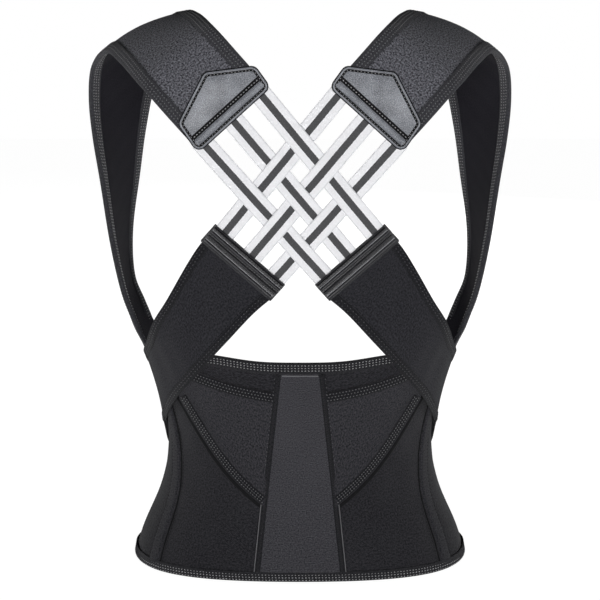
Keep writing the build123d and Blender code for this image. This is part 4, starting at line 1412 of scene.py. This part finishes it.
for name, side in sides.items():
    body, puller, title = name + "_front", name + "_pull_end", name.title()
    outerX, closeX = side * (front["hinge"] + front["lap"]), front["closure"] + side * front["gap"] / 2
    foot, reach = ((side * x * mm, y * mm, belt["frontTop"] / 2 * mm)
                   for x, y in (front["hingeFoot"], front["hingeReach"]))
    hinged = "wrap", body, foot, reach
    peeled = body, puller, *((side * x, y, z) for x, y, z in (front["pullFoot"], front["pullReach"]))
    flap = frontPatch("frontFlap" + title, outerX, closeX, belt["margin"], belt["frontTop"] - belt["margin"],
                      belt["panelOut"], belt["panelThick"], ["belt", "beltInner"], wave=0.3)
    finishPiece(flap, "belt_neoprene", hinged, "front_flap_" + name)
    ends = (closeX, outerX) if name == "left" else (outerX, closeX)
    upper = swept("flapTopBinding" + title, frontLine(*ends, 60, belt["frontTop"]),
                  foldedBinding(belt["topBinding"]), "binding")
    lower = swept("flapHemBinding" + title, frontLine(*ends[::-1], 60, 0),
                  foldedBinding(belt["hemBinding"]), "binding")
    dots = edgeDots(lambda height, offset: frontLine(*ends, 90, height, offset),
                    lambda drop: belt["frontTop"] - drop)
    finishPiece(upper, "edge_binding", hinged, "flap_bindings_" + name)
    finishPiece(lower, "edge_binding", hinged)
    finishPiece(sewn("flapEdgeStitches" + title, dots, "paleThread"), "edge_binding", hinged)
    rows = []
    for into in (2.5, 6.5):
        line = uprightLine(closeX + side * into, 11, belt["frontTop"] - 12, 60, 3.95)
        rows.append((line, 3.0, 0.5, (2.2, 0.6, 0.5), 0))
    finishPiece(sewn("closureStitches" + title, rows, "darkThread"), "seam_tape", body)

    # the front strap's sewn base, its pulled end with the hook pad, and the loop field under it
    pullHinge, low, high, inset = front["pullHinge"], front["strapLow"], front["strapHigh"], front["inset"]
    pulled = side * (pullHinge - front["reach"][name])
    padding = wing["out"], wing["thick"], ["wing", "beltInner"]
    base = frontPatch("strapBase" + title, side * (pullHinge + 0.2), outerX, low, high, *padding)
    end = frontPatch("pullEnd" + title, side * (pullHinge - 0.2), pulled, low, high, *padding)
    pad = frontPatch("pullHook" + title, side * (pullHinge - 9), pulled + side * inset,
                     low + inset, high - inset, 6.8, 1.1, ["hook"], 0.3)
    field = frontPatch("loopField" + title, side * (pullHinge - 1), pulled - side * (inset - 1), low, high,
                       5.3, 1.15, ["loop"], 0.3)
    finishPiece(base, "wing_neoprene", hinged, "strap_base_" + name)
    finishPiece(end, "wing_neoprene", peeled, "pull_end_" + name)
    finishPiece(pad, "hook_tape", puller, "pull_hook_" + name)
    finishPiece(field, "loop_fabric", body, "loop_field_" + name)
    for edgeAt, into in ((low, wing["tape"] / 2), (high, -wing["tape"] / 2)):
        line = frontLine(*sorted((side * (pullHinge - 0.2), pulled)), 50, edgeAt + into, wing["out"] - 0.35)
        finishPiece(swept("pullTape%s%d" % (title, edgeAt), line, wingTape, "tape"), "seam_tape", peeled)
    line = uprightLine(pulled + side * 4, low, high, 40, wing["out"] - 0.3, wing["out"])
    endTape = swept("pullEndTape" + title, line, tapeProfile(wing["tape"], 1.25, 0.5), "tape")
    finishPiece(endTape, "seam_tape", puller)
    rows = []
    for level in (low + wing["tape"] + 0.8, high - wing["tape"] - 0.8):
        line = frontLine(*sorted((side * (pullHinge - 6), pulled + side * 9)), 50, level, wing["out"] + 0.1)
        rows.append((line, 3.3, 0.5, (2.4, 0.75, 0.6), 0))
    for into in (2.0, 6.5):
        line = uprightLine(pulled + side * into, low + 3, high - 3, 40, wing["out"] + 1.0, wing["out"])
        rows.append((line, 3.0, 0.5, (2.2, 0.7, 0.6), 0))
    finishPiece(sewn("pullStitches" + title, rows, "greyThread"), "seam_tape", puller)

closure, low, high = front["closure"], front["low"], front["high"]
tongue = frontPatch("loopTongue", closure + 29, closure - 38, low, high, -0.3, 1.15, ["loop"], 0.3)
finishPiece(tongue, "loop_fabric", "right_front", "loop_tongue")
hookPatch = frontPatch("closureHook", closure - 1.3, closure - 33.3, low, high, 0.8, 0.75, ["hook"], 0.2)
finishPiece(hookPatch, "hook_tape", "left_front", "closure_hook_patch")
print("front made")

# the lining and the stays inside

lining = {"half": 52.0, "low": 11.5, "high": 196.3, "outer": 0.8, "inner": -1.5, "stay": 24.0,
          "pocketHalf": 8.0, "pocketLong": 171.0, "stitch": (3.2, 0.5, (2.3, 0.7, 0.6), 0)}


def placeLining(s, t):
    x, height = (s - 0.5) * 2 * lining["half"], lining["low"] + t * (lining["high"] - lining["low"])
    return onBack(x, height, lining["inner"] - 0.25 * np.sin(np.pi * s))


# its face looks at the wearer, and its thickness goes outwards
liner = cloth("lumbarLining", 60, 60, placeLining, lining["inner"] - lining["outer"] + 0.3, ["lining"], 0.4)
finishPiece(liner, "lining", "wrap", "lumbar_lining")
pocketMiddle = (lining["low"] + lining["high"]) / 2
pocketLow, pocketHigh = pocketMiddle - lining["pocketLong"] / 2, pocketMiddle + lining["pocketLong"] / 2
seams = []
for side in (-1, 1):
    for beside in (-lining["pocketHalf"], lining["pocketHalf"]):
        x = side * lining["stay"] + beside
        seams.append(([(x, pocketLow), (x, pocketHigh)], 0.35))
    x = side * (lining["half"] - 3)
    seams.append(([(x, lining["low"] + 2), (x, lining["high"] - 2)], 0.15))
for level in (lining["low"] + 3, lining["high"] - 3):
    seams.append(([(-lining["half"] + 3, level), (lining["half"] - 3, level)], 0.3))
rows = []
for ends, raised in seams:
    path, outward = straightLine(ends, lining["inner"] - raised)
    rows.append(((path, -outward), *lining["stitch"]))
finishPiece(sewn("liningStitches", rows, "greyThread"), "lining", "wrap")

for stem, material in (("lumbar_stay_", "steel"), ("side_stay_", "stay")):
    for name in sides:
        stay = bpy.data.objects[stem + name]
        stay.data.materials.clear()
        stay.data.materials.append(finish[material])
print("inside made")

# floor, light and camera


def seenShare(tree):
    # 1 where the camera, a gloss or a clear piece looks, 0 for the light that falls on the brace
    rays = tree.nodes.new("ShaderNodeLightPath")
    gloss = maths(tree, "MAXIMUM", rays.outputs["Is Glossy Ray"], rays.outputs["Is Transmission Ray"])
    return maths(tree, "MAXIMUM", rays.outputs["Is Camera Ray"], gloss)


def stageMaterial():
    # pale ground that is seen as white where no shadow falls
    material, tree, shader, place = startMaterial("paleGround")
    setInputs(shader, {"Base Color": (0.93, 0.93, 0.93, 1), "Roughness": 0.9})
    glow = tree.nodes.new("ShaderNodeEmission")
    setInputs(glow, {"Color": (1, 1, 1, 1), "Strength": 1.2})
    mix = tree.nodes.new("ShaderNodeMixShader")
    wire(tree, maths(tree, "MULTIPLY", seenShare(tree), 0.8), mix.inputs[0])
    wire(tree, shader.outputs[0], mix.inputs[1])
    wire(tree, glow.outputs[0], mix.inputs[2])
    wire(tree, mix.outputs[0], tree.nodes["Material Output"].inputs["Surface"])
    return material


bpy.ops.mesh.primitive_plane_add(size=6, location=(0, 0, 0))
floor = bpy.context.object
floor.name = "floor"
floor.data.materials.append(stageMaterial())

scene = bpy.context.scene
scene.view_settings.view_transform = "Standard"
world = bpy.data.worlds.new("studio")
scene.world = world
world.use_nodes = True
tree = world.node_tree
tree.nodes.clear()
seen, soft = tree.nodes.new("ShaderNodeBackground"), tree.nodes.new("ShaderNodeBackground")
for background in (seen, soft):
    setInputs(background, {"Color": (1, 1, 1, 1)})
place = tree.nodes.new("ShaderNodeTexCoord")
split = tree.nodes.new("ShaderNodeSeparateXYZ")
wire(tree, place.outputs["Generated"], split.inputs[0])
softLevel = 0.24  # fades to nothing straight above
fading = maths(tree, "MULTIPLY_ADD", maths(tree, "MAXIMUM", split.outputs[2], 0.0), -softLevel, softLevel)
wire(tree, fading, soft.inputs["Strength"])
mix, output = (tree.nodes.new(kind) for kind in ("ShaderNodeMixShader", "ShaderNodeOutputWorld"))
wire(tree, seenShare(tree), mix.inputs[0])
wire(tree, soft.outputs[0], mix.inputs[1])
wire(tree, seen.outputs[0], mix.inputs[2])
wire(tree, mix.outputs[0], output.inputs["Surface"])


def lamp(name, place, target, size, power):
    bpy.ops.object.light_add(type="AREA", location=place)
    light = bpy.context.object
    light.name = name
    light.data.shape = "RECTANGLE"
    light.data.size, light.data.size_y = size
    light.data.energy = power
    light.rotation_euler = (Vector(target) - Vector(place)).to_track_quat("-Z", "Y").to_euler()


lamp("keyLight", (-0.5, -2.05, 0.2), (0, 0, 0.33), (0.6, 0.35), 19)
lamp("fillLight", (0.6, -2.05, 0.2), (0, 0, 0.33), (0.6, 0.35), 15.5)
lamp("frontLight", (0.7, 2.0, 0.45), (0, 0, 0.25), (0.9, 0.6), 16)
lamp("leftRim", (-1.7, 0.35, 0.35), (0, 0, 0.2), (0.6, 0.6), 11)
lamp("rightRim", (1.7, 0.35, 0.35), (0, 0, 0.2), (0.6, 0.6), 11)

bpy.ops.object.camera_add(location=(0, -1.9563, 0.66287), rotation=(math.radians(78), 0, 0))
camera = bpy.context.object
camera.data.lens = 126.3
camera.data.sensor_width = 36
scene.camera = camera
print("floor, lamps and camera set")
